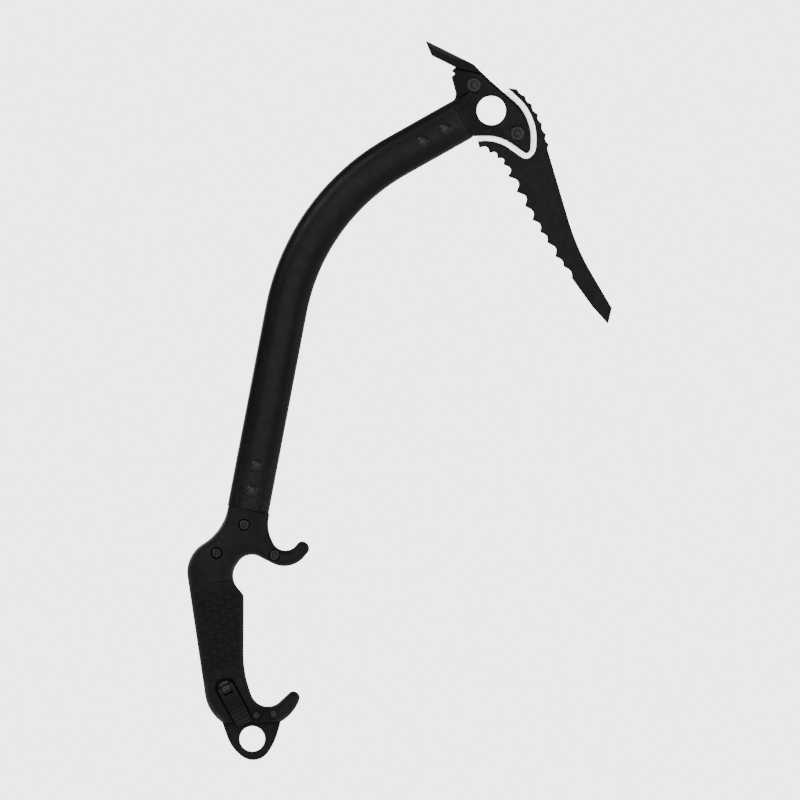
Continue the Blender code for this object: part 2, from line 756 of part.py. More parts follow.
def handle_piece(name, loop, finish, levels):
    """One length of the handle. levels turns the crown's half width into (front, back) heights."""
    edge = Rim(handle_silhouette(), closed=False)

    def crown(point):
        share = 1 - min(1.0, edge.distance(point) / CROWN_REACH)
        full = body_half(point)
        return RIM_HALF + (full - RIM_HALF) * math.sqrt(max(0.0, 1 - share * share))

    outline = spaced(loop, 5.0)
    whole = Rim([outline])
    rings = [inset_ring(outline, depth) for depth in CROWN_RINGS]
    seeds = crown_seeds(outline, whole, [p for ring in rings for p in ring if p is not None])
    front, back = levels

    def soft(point):
        return edge.distance(point) > 3.5 and whole.distance(point) > 2.0

    return relief(
        name, outline, lambda p: front(crown(p)), lambda p: back(crown(p)), finish, (), rings, seeds, soft)


def crown_seeds(outline, whole, taken):
    """Staggered grid of points well inside an outline and clear of its inset rings."""
    across, down = CROWN_GRID
    seeds = []
    for row in range(40):
        for column in range(24):
            shift = (row % 2) * across / 2
            spot = Vector((-215.0 + column * across + shift, -278.0 - row * down))
            if is_inside(outline, spot) and whole.distance(spot) > 9.5:
                if all((spot - other).length > 3.0 for other in taken):
                    seeds.append(spot)
    return seeds


def whole_handle():
    back, front = handle_silhouette()
    return back + front


def pommel_outline():
    top = tail() + lower_direction() * GAP
    upper = clipped(whole_handle(), top, lower_direction())
    foot = handle_point(handle_drop(SLEEVE_TOP) - GAP)
    return clipped(upper, foot, -handle_direction())


def handle_drop(level):
    """Distance below the seat of the handle's axis at a height."""
    return (REST_SEAT.y - level) / math.cos(HANDLE_LEAN)


def core_outline():
    bar_left = handle_point(BAR_DROP, -BAR_HALF_DEPTH)
    bar_right = handle_point(BAR_DROP, BAR_HALF_DEPTH)
    neck_left = handle_point(handle_drop(-319.0), -BAR_HALF_DEPTH)
    neck_right = handle_point(handle_drop(-325.0), BAR_HALF_DEPTH)
    stub_half = TUBE_DEPTH / 2 - TUBE_WALL - GAP - 2.0
    square = Vector((-lower_direction().y, lower_direction().x)) * stub_half
    top = tail() - lower_direction() * 5.0
    right = top + square
    left = top - square
    return [
        (left.x, left.y, 0), (-185.0, -289.0, 14.0), (neck_left.x, neck_left.y, 14.0),
        (bar_left.x, bar_left.y, 2.0), (bar_right.x, bar_right.y, 2.0), (neck_right.x, neck_right.y, 14.0),
        (-180.0, -306.0, 12.0), (-160.0, -293.5, 10.0), (right.x, right.y, 0),
    ]


def slot_outline(down_from, down_to, half):
    """Rounded slot along the handle's axis."""
    corners = []
    top = down_from - half
    foot = down_to + half
    for down, side in ((top, -1), (top, 1), (foot, 1), (foot, -1)):
        spot = handle_point(down, side * half)
        corners.append((spot.x, spot.y, half * 0.98))
    return rounded(corners)


def make_core():
    slot = slot_outline(CLAMP_DROP, CLAMP_DROP + REST_TRAVEL, BOLT_SHANK + HOLE_PLAY)
    holes = [slot] + [circle(POMMEL_SCREWS[key][0], SCREW_SHANK + HOLE_PLAY, 14) for key in ("top", "rear")]
    core = plate("handle_core", rounded(core_outline()), -BAR_HALF_WIDTH, BAR_HALF_WIDTH, ALLOY, holes, 0.8)
    join(core, stub("core_stub", tail(), -lower_direction(), STUB_LENGTH, 0.0))
    for place in rivet_places()[2:]:
        cut(core, drill("core_rivet_hole", place, RIVET_RADIUS + HOLE_PLAY))


def grown(loop, margin):
    """An outline moved outward, for the pocket that its piece sits in."""
    ring = []
    for before, corner, after in zip(loop[-1:] + loop[:-1], loop, loop[1:] + loop[:1]):
        along = (corner - before).normalized() + (after - corner).normalized()
        out = Vector((along.y, -along.x)).normalized()
        if is_inside(loop, corner + out * 0.05):
            out = -out
        ring.append(corner + out * (margin * 2 / max(1.0, along.length)))
    return ring


def core_cutter(name):
    """The pocket that the core lies in."""
    half = BAR_HALF_WIDTH + GAP
    return plate(name, grown(rounded(core_outline()), GAP), -half, half, CUTTER)


def make_pommel():
    outline = pommel_outline()
    parting = GAP / 2
    right = handle_piece("pommel_right", outline, NYLON, (lambda h: -parting, lambda h: -h))
    left = handle_piece("pommel_left", outline, NYLON, (lambda h: h, lambda h: parting))
    for shell in (right, left):
        cut(shell, core_cutter(shell.name + "_cavity"))
    for key, (place, floor, reach) in POMMEL_SCREWS.items():
        cut(right, drill(f"screw_{key}_way", place, SCREW_SHANK + HOLE_PLAY, -THROUGH, 1, 14))
        cut(right, drill(f"screw_{key}_bore", place, SCREW_HEAD + 0.4, -THROUGH, -floor))
        cut(left, drill(f"screw_{key}_blind", place, SCREW_SHANK + HOLE_PLAY, -1, reach + GAP, 14))
        seat = floor + GAP
        top = seat + SCREW_HEAD_HEIGHT
        profile = [
            (SCREW_SHANK, -reach), (SCREW_SHANK, seat), (SCREW_HEAD, seat), (SCREW_HEAD, top - 0.6),
            (SCREW_HEAD - 0.6, top),
        ]
        middle = Vector((place.x, 0, place.y))
        screw = turned(f"pommel_screw_{key}", profile, middle, (0, -1, 0), ZINC, 14)
        socket = [(SCREW_SHANK, top - SCREW_SOCKET_DEPTH), (SCREW_SHANK, top + 1)]
        cut(screw, turned("screw_socket", socket, middle, (0, -1, 0), CUTTER, 6))


def make_sleeve():
    upper = clipped(whole_handle(), handle_point(handle_drop(SLEEVE_TOP)), handle_direction())
    outline = clipped(upper, handle_point(-GAP), -handle_direction())
    sleeve = handle_piece("grip_sleeve", outline, RUBBER, (lambda h: h, lambda h: -h))
    cut(sleeve, core_cutter("sleeve_bore"))


def make_rest():
    """Lower rest, its cam clamp and the eyelet plate, all carried by the slide."""
    outline = clipped(whole_handle(), handle_point(0), handle_direction())
    rest = handle_piece("lower_rest", outline, NYLON, (lambda h: h, lambda h: -h))
    side = BAR_HALF_DEPTH + GAP
    floor = BAR_DROP + GAP
    pocket = [handle_point(*spot) for spot in ((-5, -side), (floor, -side), (floor, side), (-5, side))]
    half = BAR_HALF_WIDTH + GAP
    cut(rest, plate("rest_pocket", pocket, -half, half, CUTTER))
    slot = EYELET_HALF + GAP
    cut(rest, plate("rest_tongue_slot", grown(rounded(EYELET_OUTLINE), GAP), -slot, slot, CUTTER))
    clamp = handle_point(CLAMP_DROP)
    cut(rest, drill("clamp_way", clamp, BOLT_SHANK + 0.4))
    cut(rest, plate("lever_land", lever_land(), -THROUGH, -LAND_DEPTH, CUTTER))
    cut(rest, drill("nut_land", clamp, NUT_LAND_RADIUS, NUT_LAND_DEPTH, THROUGH, 28))
    for index, place in enumerate(EYELET_RIVETS):
        cut(rest, drill(f"eyelet_way_{index}", place, EYELET_RIVET_RADIUS + HOLE_PLAY, count=14))
    eyelet = make_eyelet()
    pins = make_eyelet_rivets()
    clamp_parts = make_clamp(clamp)
    lever = make_lever(clamp)
    carriage = pivot("rest_slide", Vector((REST_SEAT.x, 0, REST_SEAT.y)))
    for piece in (rest, eyelet, *pins, *clamp_parts):
        hang(piece, carriage)
    hinge = pivot("lever_hinge", pin_centre(clamp), carriage)
    hang(lever, hinge)


def lever_direction():
    return Vector((math.cos(LEVER_TILT), math.sin(LEVER_TILT)))


def lever_place(clamp, along, aside):
    forward = lever_direction()
    return clamp + forward * along + Vector((-forward.y, forward.x)) * aside


def lever_land():
    """Flat recess in the rest's right side, under the closed lever."""
    clamp = handle_point(CLAMP_DROP)
    wide = LEVER_HALF_WIDTH + 1.0
    back = -8.5
    front = LEVER_LENGTH + 13.0
    corners = []
    for along, aside, radius in ((back, -wide, 6.9), (front, -wide, 0), (front, wide, 0), (back, wide, 6.9)):
        spot = lever_place(clamp, along, aside)
        corners.append((spot.x, spot.y, radius))
    return rounded(corners)


def pin_centre(clamp):
    """Centre of the cam's pin, out from the land by the washer and the cam."""
    out = LAND_DEPTH + GAP + WASHER_THICKNESS + GAP + CAM_RADIUS
    return Vector((clamp.x, -out, clamp.y))


def make_clamp(clamp):
    """Bolt with an eye for the pin, nut, washer and pin."""
    middle = Vector((clamp.x, 0, clamp.y))
    pin_at = pin_centre(clamp)
    pin_axis = Vector((-lever_direction().y, 0, lever_direction().x))
    bore = BOLT_SHANK + HOLE_PLAY
    seat = NUT_LAND_DEPTH + GAP
    foot = NUT_LAND_DEPTH + 4.8
    bolt = turned("clamp_bolt", [(BOLT_SHANK, pin_at.y), (BOLT_SHANK, foot - 0.2)], middle, (0, 1, 0), ZINC)
    eye = [(CLAMP_EYE_RADIUS, -EYE_HALF), (CLAMP_EYE_RADIUS, EYE_HALF)]
    join(bolt, turned("clamp_eye", eye, pin_at, pin_axis, CUTTER))
    cut(bolt, pin_way("clamp_eye_way", pin_at, pin_axis))
    nut_profile = [
        (bore, seat), (6.6, seat), (6.9, seat + 0.9), (6.9, foot - 1.0), (6.0, foot), (bore, foot),
    ]
    nut = ring_solid("clamp_nut", nut_profile, middle, (0, 1, 0), ALLOY)
    low = LAND_DEPTH + GAP
    high = low + WASHER_THICKNESS
    washer_profile = [(bore + 0.1, low), (6.0, low), (6.0, high), (bore + 0.1, high)]
    washer = ring_solid("clamp_washer", washer_profile, middle, (0, -1, 0), ZINC)
    reach = LEVER_HALF_WIDTH - 0.2
    side = reach - PIN_CHAMFER
    pin_profile = [
        (PIN_RADIUS - PIN_CHAMFER, -reach), (PIN_RADIUS, -side), (PIN_RADIUS, side),
        (PIN_RADIUS - PIN_CHAMFER, reach),
    ]
    pin = turned("lever_pin", pin_profile, pin_at, pin_axis, ZINC, 12)
    return bolt, nut, washer, pin


def pin_way(name, centre, axis):
    """Cutter for the pin's hole."""
    bore = PIN_RADIUS + HOLE_PLAY
    return turned(name, [(bore, -THROUGH / 2), (bore, THROUGH / 2)], centre, axis, CUTTER)


def cam_arc(degrees):
    """Points of the cam's round end; zero is straight out from the rest."""
    turns = [math.radians(angle) for angle in degrees]
    return [Vector((math.sin(t), -math.cos(t))) * CAM_RADIUS for t in turns]


def lever_section():
    """The lever seen from its edge: (distance along it, height in Y), round the cam and the arm."""
    cam = cam_arc(range(-150, 1, 15))
    outer = [(7.0, -3.4), (13.0, -0.9), (19.0, 0.6), (25.0, 0.2), (LEVER_LENGTH, -0.4)]
    inner = [(LEVER_LENGTH, 2.6), (24.0, 4.3), (8.6, 5.0), (4.6, 2.9)]
    return cam + [Vector(spot) for spot in outer + inner] + cam_arc((135, 158, 180))


def make_lever(clamp):
    """Cam lever: round ears on the pin and an arm that lies along the rest's side."""
    centre = pin_centre(clamp)
    section = lever_section()
    middle = Vector((6.0, 0.8))

    def place(spot, aside):
        side = lever_place(Vector((centre.x, centre.z)), spot[0], aside)
        return Vector((side.x, centre.y + spot[1], side.y))

    sides = []
    for aside, shrink in ((-LEVER_HALF_WIDTH, 0.5), (-LEVER_HALF_WIDTH + 0.6, 0.0),
                          (LEVER_HALF_WIDTH - 0.6, 0.0), (LEVER_HALF_WIDTH, 0.5)):
        ring = [spot + (middle - spot).normalized() * shrink for spot in section]
        sides.append([place(spot, aside) for spot in ring])
    lever = loft("lock_lever", sides, BLACK_STEEL)
    axis = Vector((-lever_direction().y, 0, lever_direction().x))
    cut(lever, pin_way("lever_pin_way", centre, axis))
    fork_half = EYE_HALF + 0.4
    gap = ((-6, -6), (4.6, -6), (4.6, 8), (-6, 8))
    walls = [[place(spot, aside) for spot in gap] for aside in (-fork_half, fork_half)]
    cut(lever, loft("lever_fork", walls, CUTTER))
    return lever


def make_eyelet():
    outline = rounded(EYELET_OUTLINE)
    holes = [circle(EYELET_CENTRE, EYELET_RADIUS, 28)]
    holes += [circle(spot, EYELET_RIVET_RADIUS + HOLE_PLAY, 14) for spot in EYELET_RIVETS]
    return plate("foot_eyelet", outline, -EYELET_HALF, EYELET_HALF, BLACK_STEEL, holes, 0.6)


def make_eyelet_rivets():
    """Rivets through the rest and the eyelet plate, their heads on the rest's sides."""
    reach = EYELET_RIVET_REACH
    side = reach - EYELET_RIVET_CHAMFER
    tip = EYELET_RIVET_RADIUS - EYELET_RIVET_CHAMFER
    profile = [(tip, -reach), (EYELET_RIVET_RADIUS, -side), (EYELET_RIVET_RADIUS, side), (tip, reach)]
    made = []
    for name, place in zip(("eyelet_rivet_rear", "eyelet_rivet_front"), EYELET_RIVETS):
        made.append(turned(name, profile, Vector((place.x, 0, place.y)), (0, 1, 0), ZINC, 12))
    return made


def pivot(name, place, parent=None):
    """Empty that carries a moving group; its axes are the world's."""
    empty = bpy.data.objects.new(name, None)
    bpy.context.scene.collection.objects.link(empty)
    empty.location = place * MM - (parent.location if parent else Vector((0, 0, 0)))
    empty.parent = parent
    return empty


def hang(piece, carrier):
    """Hands a piece to its carrier without moving it."""
    origin = Vector(carrier.location)
    if carrier.parent:
        origin += carrier.parent.location
    piece.data.transform(Matrix.Translation(-origin))
    piece.parent = carrier


for old in list(bpy.data.objects):
    bpy.data.objects.remove(old, do_unlink=True)

CUTTER = material("cutter", (0.8, 0.1, 0.1), 0.5, 0.0)
ANODISED = material("black_anodised", BLACK, 0.42, 0.9)
BLACK_STEEL = material("black_steel", BLACK, 0.36, 0.9)
ZINC = material("dark_zinc", (0.06, 0.06, 0.065), 0.3, 1.0)
ALLOY = material("dark_alloy", (0.05, 0.05, 0.055), 0.4, 0.9)
NYLON = material("black_nylon", (0.018, 0.018, 0.02), 0.5, 0.0)
RUBBER = material("black_rubber", (0.015, 0.015, 0.016), 0.75, 0.0)

make_shaft()
make_rivets()
make_head()
make_pick()
make_adze()
make_pick_fasteners()
make_core()
make_pommel()
make_sleeve()
make_rest()
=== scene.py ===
"""Looks of the ice axe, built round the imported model.

Each piece is built finely from the design's own outline or section, repeated here, and stands for
the coarser solid in that place. Three places depart from the design by up to 1.3 mm: the upper
hook's bowl, the adze with the head's corner under it, and the metal beside the slot under the neck.
Fasteners take their places from the frame's nodes. Forged and moulded pieces are remeshed, which
rounds their edges. Lengths in the constants are millimetres, apart from the lights' and the
camera's, and MM turns them into the frame's metres."""

import json
import math

import bmesh
import bpy
import numpy as np
from mathutils import Matrix, Vector
from mathutils.geometry import delaunay_2d_cdt

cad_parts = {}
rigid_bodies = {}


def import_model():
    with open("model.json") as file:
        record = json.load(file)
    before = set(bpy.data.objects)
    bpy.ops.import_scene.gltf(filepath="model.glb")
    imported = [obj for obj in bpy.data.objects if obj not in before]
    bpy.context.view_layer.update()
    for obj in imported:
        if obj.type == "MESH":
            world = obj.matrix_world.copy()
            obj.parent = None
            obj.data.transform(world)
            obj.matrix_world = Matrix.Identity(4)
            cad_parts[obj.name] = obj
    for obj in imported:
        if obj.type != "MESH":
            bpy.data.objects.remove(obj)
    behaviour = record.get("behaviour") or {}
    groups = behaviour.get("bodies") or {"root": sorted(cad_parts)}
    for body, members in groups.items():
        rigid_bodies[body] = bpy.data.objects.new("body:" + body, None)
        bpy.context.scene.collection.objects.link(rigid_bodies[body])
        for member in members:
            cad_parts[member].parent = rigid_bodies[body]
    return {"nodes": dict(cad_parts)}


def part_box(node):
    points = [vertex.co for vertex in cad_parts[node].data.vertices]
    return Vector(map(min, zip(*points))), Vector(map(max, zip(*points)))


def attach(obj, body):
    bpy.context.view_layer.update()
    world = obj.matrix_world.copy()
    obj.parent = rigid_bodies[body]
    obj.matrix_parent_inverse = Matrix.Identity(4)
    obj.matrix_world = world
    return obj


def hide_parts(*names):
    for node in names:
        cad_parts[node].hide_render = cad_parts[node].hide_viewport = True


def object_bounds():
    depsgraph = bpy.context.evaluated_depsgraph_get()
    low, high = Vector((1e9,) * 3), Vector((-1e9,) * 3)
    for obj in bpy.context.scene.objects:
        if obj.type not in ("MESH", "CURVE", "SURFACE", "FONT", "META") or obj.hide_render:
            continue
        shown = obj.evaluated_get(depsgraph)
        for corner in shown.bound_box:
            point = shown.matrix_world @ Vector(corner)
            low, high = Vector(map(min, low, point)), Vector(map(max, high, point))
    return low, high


MM = 0.001
# Clearance that the design keeps between pieces, and a cutter's reach to either side.
GAP = 0.3
THROUGH = 30.0
# Greatest distance between an arc and the chords drawn for it, and the step along straight edges.
SAGITTA = 0.004
EDGE_STEP = 0.8

# Shaft: two straight legs joined by one bend, oval in section. MOUTH and TAIL are its two ends.
SHAFT_CORNER = Vector((-129.9, -67.8))
UPPER_SLOPE = math.radians(29.37)
LOWER_LEAN = math.radians(10.8)
BEND_RADIUS = 156.7
UPPER_LEG = 125.0
LOWER_LEG = 215.0
UPPER_WAY = Vector((math.cos(UPPER_SLOPE), math.sin(UPPER_SLOPE)))
LOWER_WAY = Vector((-math.sin(LOWER_LEAN), -math.cos(LOWER_LEAN)))
MOUTH = SHAFT_CORNER + UPPER_WAY * UPPER_LEG
TAIL = SHAFT_CORNER + LOWER_WAY * LOWER_LEG
TUBE_DEPTH = 29.4
TUBE_WIDTH = 21.0
TUBE_WALL = 1.7
OVALNESS = 2.35
TUBE_LIP = 0.25
SEAM = 0.33
SHAFT_SIDES = 96
BEND_STEPS = 48

# Handle axis, with the ways down it and ahead of it, and the moulded pattern of its grip.
REST_SEAT = Vector((-186.4, -397.8))
HANDLE_LEAN = math.radians(8.3)
HANDLE_DOWN = (math.sin(HANDLE_LEAN), -math.cos(HANDLE_LEAN))
HANDLE_AHEAD = (math.cos(HANDLE_LEAN), math.sin(HANDLE_LEAN))
GRIP_LENGTH = 68.0
DIAMOND_PITCH = 5.6
DIAMOND_SLANT = math.radians(33)
GROOVE_WIDTH = 1.8
GROOVE_DEPTH = 1.1
# Where the pattern fades: with how far a face turns sideways, and with the distance in millimetres
# from the grip's ends and from its middle plane. END_REACH is how much of an end meets its neighbour.
SIDEWAYS = (0.45, 0.8)
GRIP_MARGIN = (4, 8)
GRIP_SURFACE = (8.0, 9.5)
END_REACH = (0.5, 1.6)

# Fasteners.
BOLT_SHANK = 3.0
BOLT_HEAD = 5.2
BOLT_HEAD_HEIGHT = 3.4
BOLT_SOCKET = 2.9
BOLT_SOCKET_DEPTH = 2.0
THREAD_PITCH = 0.5
THREAD_DEPTH = 0.25
NUT_RADIUS = 5.6
RIVET_RADIUS = 2.5
RIVET_HEAD = 4.3
RIVET_DOME = 1.5
SCREW_SHANK = 2.0
SCREW_HEAD = 3.6
SCREW_HEAD_HEIGHT = 2.8
SCREW_SOCKET_DEPTH = 1.5
PIN_RADIUS = 2.0
# The eyelet's pins are a little wider than their holes, so that no light passes beside them.
EYELET_PIN = 2.33
EYELET_HOLE = EYELET_PIN - 0.03
RIVET_RECESS = 3.9
RIVET_RECESS_DEPTH = 8.9
# Play of a bolt in its hole, and of a screw's head, the clamp's bolt and the lever's fork.
HOLE_PLAY = 0.05
SIDE_PLAY = 0.4

# Clamp of the hand rest, and its cam lever, whose outline is given along the arm and across it.
LEVER_TILT = math.radians(-62)
LEVER_AHEAD = (math.cos(LEVER_TILT), math.sin(LEVER_TILT))
PIN_AXIS = (-math.sin(LEVER_TILT), 0, math.cos(LEVER_TILT))
LEVER_LENGTH = 27.0
LEVER_HALF_WIDTH = 6.0
LEVER_NARROWING = 0.3
LEVER_ARM = [
    (7.0, -3.4, 6), (13.0, -0.9, 30), (19.0, 0.6, 20), (LEVER_LENGTH, -0.4, 1.4),
    (LEVER_LENGTH, 2.6, 1.4), (24.0, 4.3, 6), (8.6, 5.0, 10), (4.6, 2.9, 2),
]
LEVER_RIBS = (15.5, 18.0, 20.5, 23.0)
RIB_DEPTH = 0.5
RIB_WIDTH = 1.3
CAM_RADIUS = 4.0
EYE_HALF = 2.8
EYE_BOLT_RADIUS = 3.8
CAM_PIN_HALF = 5.8
CLAMP_DROP = 7.5
LAND_DEPTH = 8.0
LAND_REACH = 13.0
LAND_ROUND = 6.9
NUT_LAND_DEPTH = 9.5
NUT_LAND_RADIUS = 7.6

# Head: outline of the cheeks, and of the slot between them that holds the pick's tang.
CHEEK_HALF = 7.75
SLOT_HALF = 2.3
EYE_RADIUS = 10.2
EYE_CHAMFER = 0.9
NECK_LENGTH = 24.0
CHIN_HALF = 5.0
CHIN_LENGTH = 4.0
HEAD_BEVEL = 1.4
HEAD_EDGE_HALF = 1.2
HEAD_GRID = 0.6
HEAD_EDGE_DEPTHS = (0.06, 0.15, 0.3, 0.5, 0.8, 1.1)
STUB_LENGTH = 42.0
HEAD_BACK_AND_TOP = [
    (-25.7, 7.2, 5.6), (-24.7, 11.8, 6.2), (-27.9, 23.5, 1.2), (-25.3, 25.7, 0.4),
    (-27.8, 27.6, 0.4), (-25.3, 30.2, 0.2), (-6.0, 26.2, 0),
]
HEAD_FRONT = [
    (-0.6, 20.8, 20.0), (21.6, 1.5, 33.1), (28.5, -13.7, 37.4), (27.1, -28.6, 10.1),
    (24.5, -30.3, 4.5), (6.4, -17.6, 30.6), (-9.8, -17.8, 1.9),
]
SLOT_OUTLINE = [
    (-13.9, -26.0, 0), (-13.9, 6.0, 3.0), (-20.6, 13.0, 4.0), (-21.6, 40.0, 0),
    (40.0, 40.0, 0), (40.0, -40.0, 0), (-13.9, -40.0, 0),
]

# Pick: a black blade, and the ground tang whose seat shows as a bright line along the head's tongue.
# A row of teeth lists each tip, with the depth and the rounding of the notch after it.
BLADE_HALF = 2.5
BLADE_TIP_HALF = 1.6
BLADE_ROOT = -20
BLADE_TAPER = 125
BLADE_CHAMFER = 0.6
TANG_HALF = 2.0
LOWER_TEETH = [
    (-8.4, -26.1, 0.51, 3.0), (-1.3, -29.7, 0.58, 2.2), (4.3, -33.4, 0.60, 1.6),
    (8.5, -37.8, 0.60, 3.0), (11.6, -46.1, 0.50, 4.0), (17.6, -57.0, 0.45, 3.5),
    (23.6, -66.9, 0.38, 4.0), (28.8, -76.7, 0.40, 4.0), (34.3, -85.1, 0.33, 4.0),
    (39.3, -92.5, 0.36, 3.5), (44.8, -102.3, 0.29, 5.0), (50.7, -109.1, 0.27, 5.0),
    (56.5, -117.5, 0, 0),
]
LOWER_NOTCH_PLACE = 0.57
UPPER_TEETH = [
    (40.2, -23.8, 0.27, 3.5), (38.3, -16.7, 0.22, 4.0), (35.4, -9.1, 0.28, 3.5),
    (32.7, -2.6, 0.28, 5.0), (28.4, 4.3, 0.26, 4.0), (23.7, 9.9, 0.14, 6.0),
    (17.8, 14.9, 0.03, 0), (11.4, 16.0, 0, 0),
]
UPPER_NOTCH_PLACE = 0.53
BLADE_HEEL = (-9.4, -21.6)
BLADE_POINT = [
    (71.0, -137.6, 6.9), (81.7, -149.4, 0.5), (84.4, -138.3, 0.5), (59.9, -96.6, 165.8),
    (39.2, -26.7, 0.8),
]
SEAT_EDGE = [
    (24.1, 3.7, 29.9), (32.0, -10.9, 38.6), (30.9, -29.8, 12.6), (24.2, -34.6, 6.8), (2.8, -19.4, 29.7),
]
TANG_OUTLINE = [
    (-13.5, -17.4, 1.0), (-9.4, -17.4, 0), (-9.4, -23.5, 0), (2.8, -22.5, 28.0), (24.2, -38.0, 8.0),
    (33.5, -32.0, 14.0), (34.5, -10.0, 40.0), (25.5, 6.0, 32.0), (12.5, 15.0, 0), (9.0, 12.0, 0),
    (-0.8, 20.2, 20.0), (-3.2, 22.6, 0), (-6.4, 10.9, 0), (-13.5, 5.0, 3.0),
]
BOLT_FRONT = Vector((18.5, -16.0))
BOLT_REAR = Vector((-12.0, 18.0))

# Adze: a dished blade on a tang of its own.
ADZE_TANG_OUTLINE = [
    (-3.8, 23.6, 0), (-6.9, 11.5, 0), (-13.5, 6.1, 2.0), (-20.1, 13.2, 4.0), (-21.2, 31.0, 0),
    (-10.0, 30.0, 0),
]
ADZE_TIP = Vector((-45.7, 48.9))
ADZE_FRONT = Vector((-12.4, 32.4))
ADZE_FOOT = Vector((-7.2, 27.0))
ADZE_DEPTH = 7.65
ADZE_FOOT_DEPTH = 5.25
ADZE_DROOP = 3.4
ADZE_BEVEL = 8.2
ADZE_EDGE_HALF = 17.0
ADZE_ROOT_HALF = 8.2
ADZE_LIP = 0.6
ADZE_COLUMNS = 49
ADZE_RINGS = 24
# Shares of its length at which the blade reaches its full depth, and between which it becomes dished.
ADZE_ROOT_SHARE = 0.26
ADZE_DISH = (0.08, 0.5)

# Handle: side outline of the whole grip, down its back and up its front.
HANDLE_BACK = [
    (-180.2, -255.0, 0), (-187.4, -294.2, 37.9), (-214.8, -311.6, 23.2), (-198.8, -419.6, 28.1),
    (-188.6, -428.3, 0),
]
HANDLE_FRONT = [
    (-147.0, -427.7, 0), (-138.0, -421.9, 30.9), (-127.2, -394.2, 4.8), (-161.1, -426.1, 12.3),
    (-173.5, -395.0, 78.7), (-173.2, -339.3, 4.3), (-183.6, -326.8, 12.8), (-171.8, -307.4, 11.3),
    (-140.3, -323.6, 18.2), (-125.8, -306.2, 4.9), (-133.0, -299.2, 4.9), (-145.5, -317.4, 10.7),
    (-157.2, -293.5, 26.2), (-150.5, -254.9, 0),
]
HANDLE_HALF = 14.0
HOOK_TAPER = 0.115
COLLAR_STEP = 2.6
COLLAR_LENGTH = 22.0
CROWN_REACH = 11.0
CROWN_PASSES = 50
SOFT_FROM_RIM = 3.5
RIM_HALF = 1.6
HOOK_START = 14.0
SLEEVE_TOP = -331.0
BAR_HALF_DEPTH = 8.5
BAR_HALF_WIDTH = 5.0
BAR_DROP = 23.5
# Recesses for the heads of the shells' screws: place, and depth below the middle of the handle.
SCREW_RECESSES = [
    (Vector((-173.0, -290.0)), 9.0), (Vector((-192.3, -309.8)), 9.0), (Vector((-151.8, -311.2)), 5.0),
]

# Eyelet plate at the foot.
EYELET_CENTRE = Vector((-167.3, -439.8))
EYELET_RADIUS = 8.9
EYELET_HALF = 2.0
EYELET_RIVETS = (Vector((-164.5, -423.6)), Vector((-152.4, -422.4)))
EYELET_OUTLINE = [
    (-188.3, -424.6, 0), (-188.3, -428.5, 0), (-181.6, -447.0, 28.6), (-163.7, -459.6, 12.9),
    (-151.8, -443.0, 44.0), (-147.3, -427.6, 0), (-147.6, -416.0, 3.0), (-157.0, -418.9, 6.0),
    (-169.6, -419.8, 3.0), (-172.0, -424.6, 1.5),
]

# Remeshing of each piece: voxel, rounds of evening, and share of the faces kept.
RECAST = {
    "head_forging": (0.34, 8, 0.4), "adze_blade": (0.24, 8, 0.4), "pick_blade": (0.28, 2, 0.35),
    "pick_tang": (0.3, 2, 0.35), "hook_shell_right": (0.4, 9, 0.5), "hook_shell_left": (0.4, 9, 0.5),
    "grip_rubber": (0.36, 8, 0.6), "hand_rest": (0.34, 12, 0.45), "eyelet_plate": (0.26, 7, 0.9),
    "cam_lever": (0.18, 4, 0.4), "eye_bolt": (0.14, 3, 0.4), "handle_bar": (0.45, 3, 0.4),
}

# A rubbed edge lighter than this is bare metal, and a darker one is only polished.
BARE_METAL = 0.3

# Picture, in metres. The world is brighter to the camera than to the object.
VIEW_CENTRE = Vector((-0.0639, -1.5, -0.20265))
VIEW_WIDTH = 0.56
FLOOR_SIZE = 8
FLOOR_DROP = 0.030
FLOOR_GLOW = 0.6
PAPER_GREY = (0.86, 0.86, 0.86, 1)
WHITE = (1, 1, 1, 1)
AMBIENT = 0.55
BACKDROP = 4.0
# Soft boxes: place, width and height in metres, and power in watts.
SOFT_BOXES = {
    "front": ((-0.1, -2.4, 0.0), 1.8, 1.8, 42),
    "key": ((-1.3, -1.2, 1.0), 0.9, 0.9, 26),
    "side": ((1.7, -0.5, 0.15), 0.6, 0.8, 16),
    "back": ((-1.0, 1.7, 0.35), 0.9, 0.8, 12),
}


# ---- materials

def fill(node, **inputs):
    """Sets a node's inputs, or links those given as sockets. A name takes _ for each space."""
    for key, value in inputs.items():
        socket = node.inputs[key.replace("_", " ")]
        if isinstance(value, bpy.types.NodeSocket):
            node.id_data.links.new(value, socket)
        else:
            socket.default_value = value
    return node


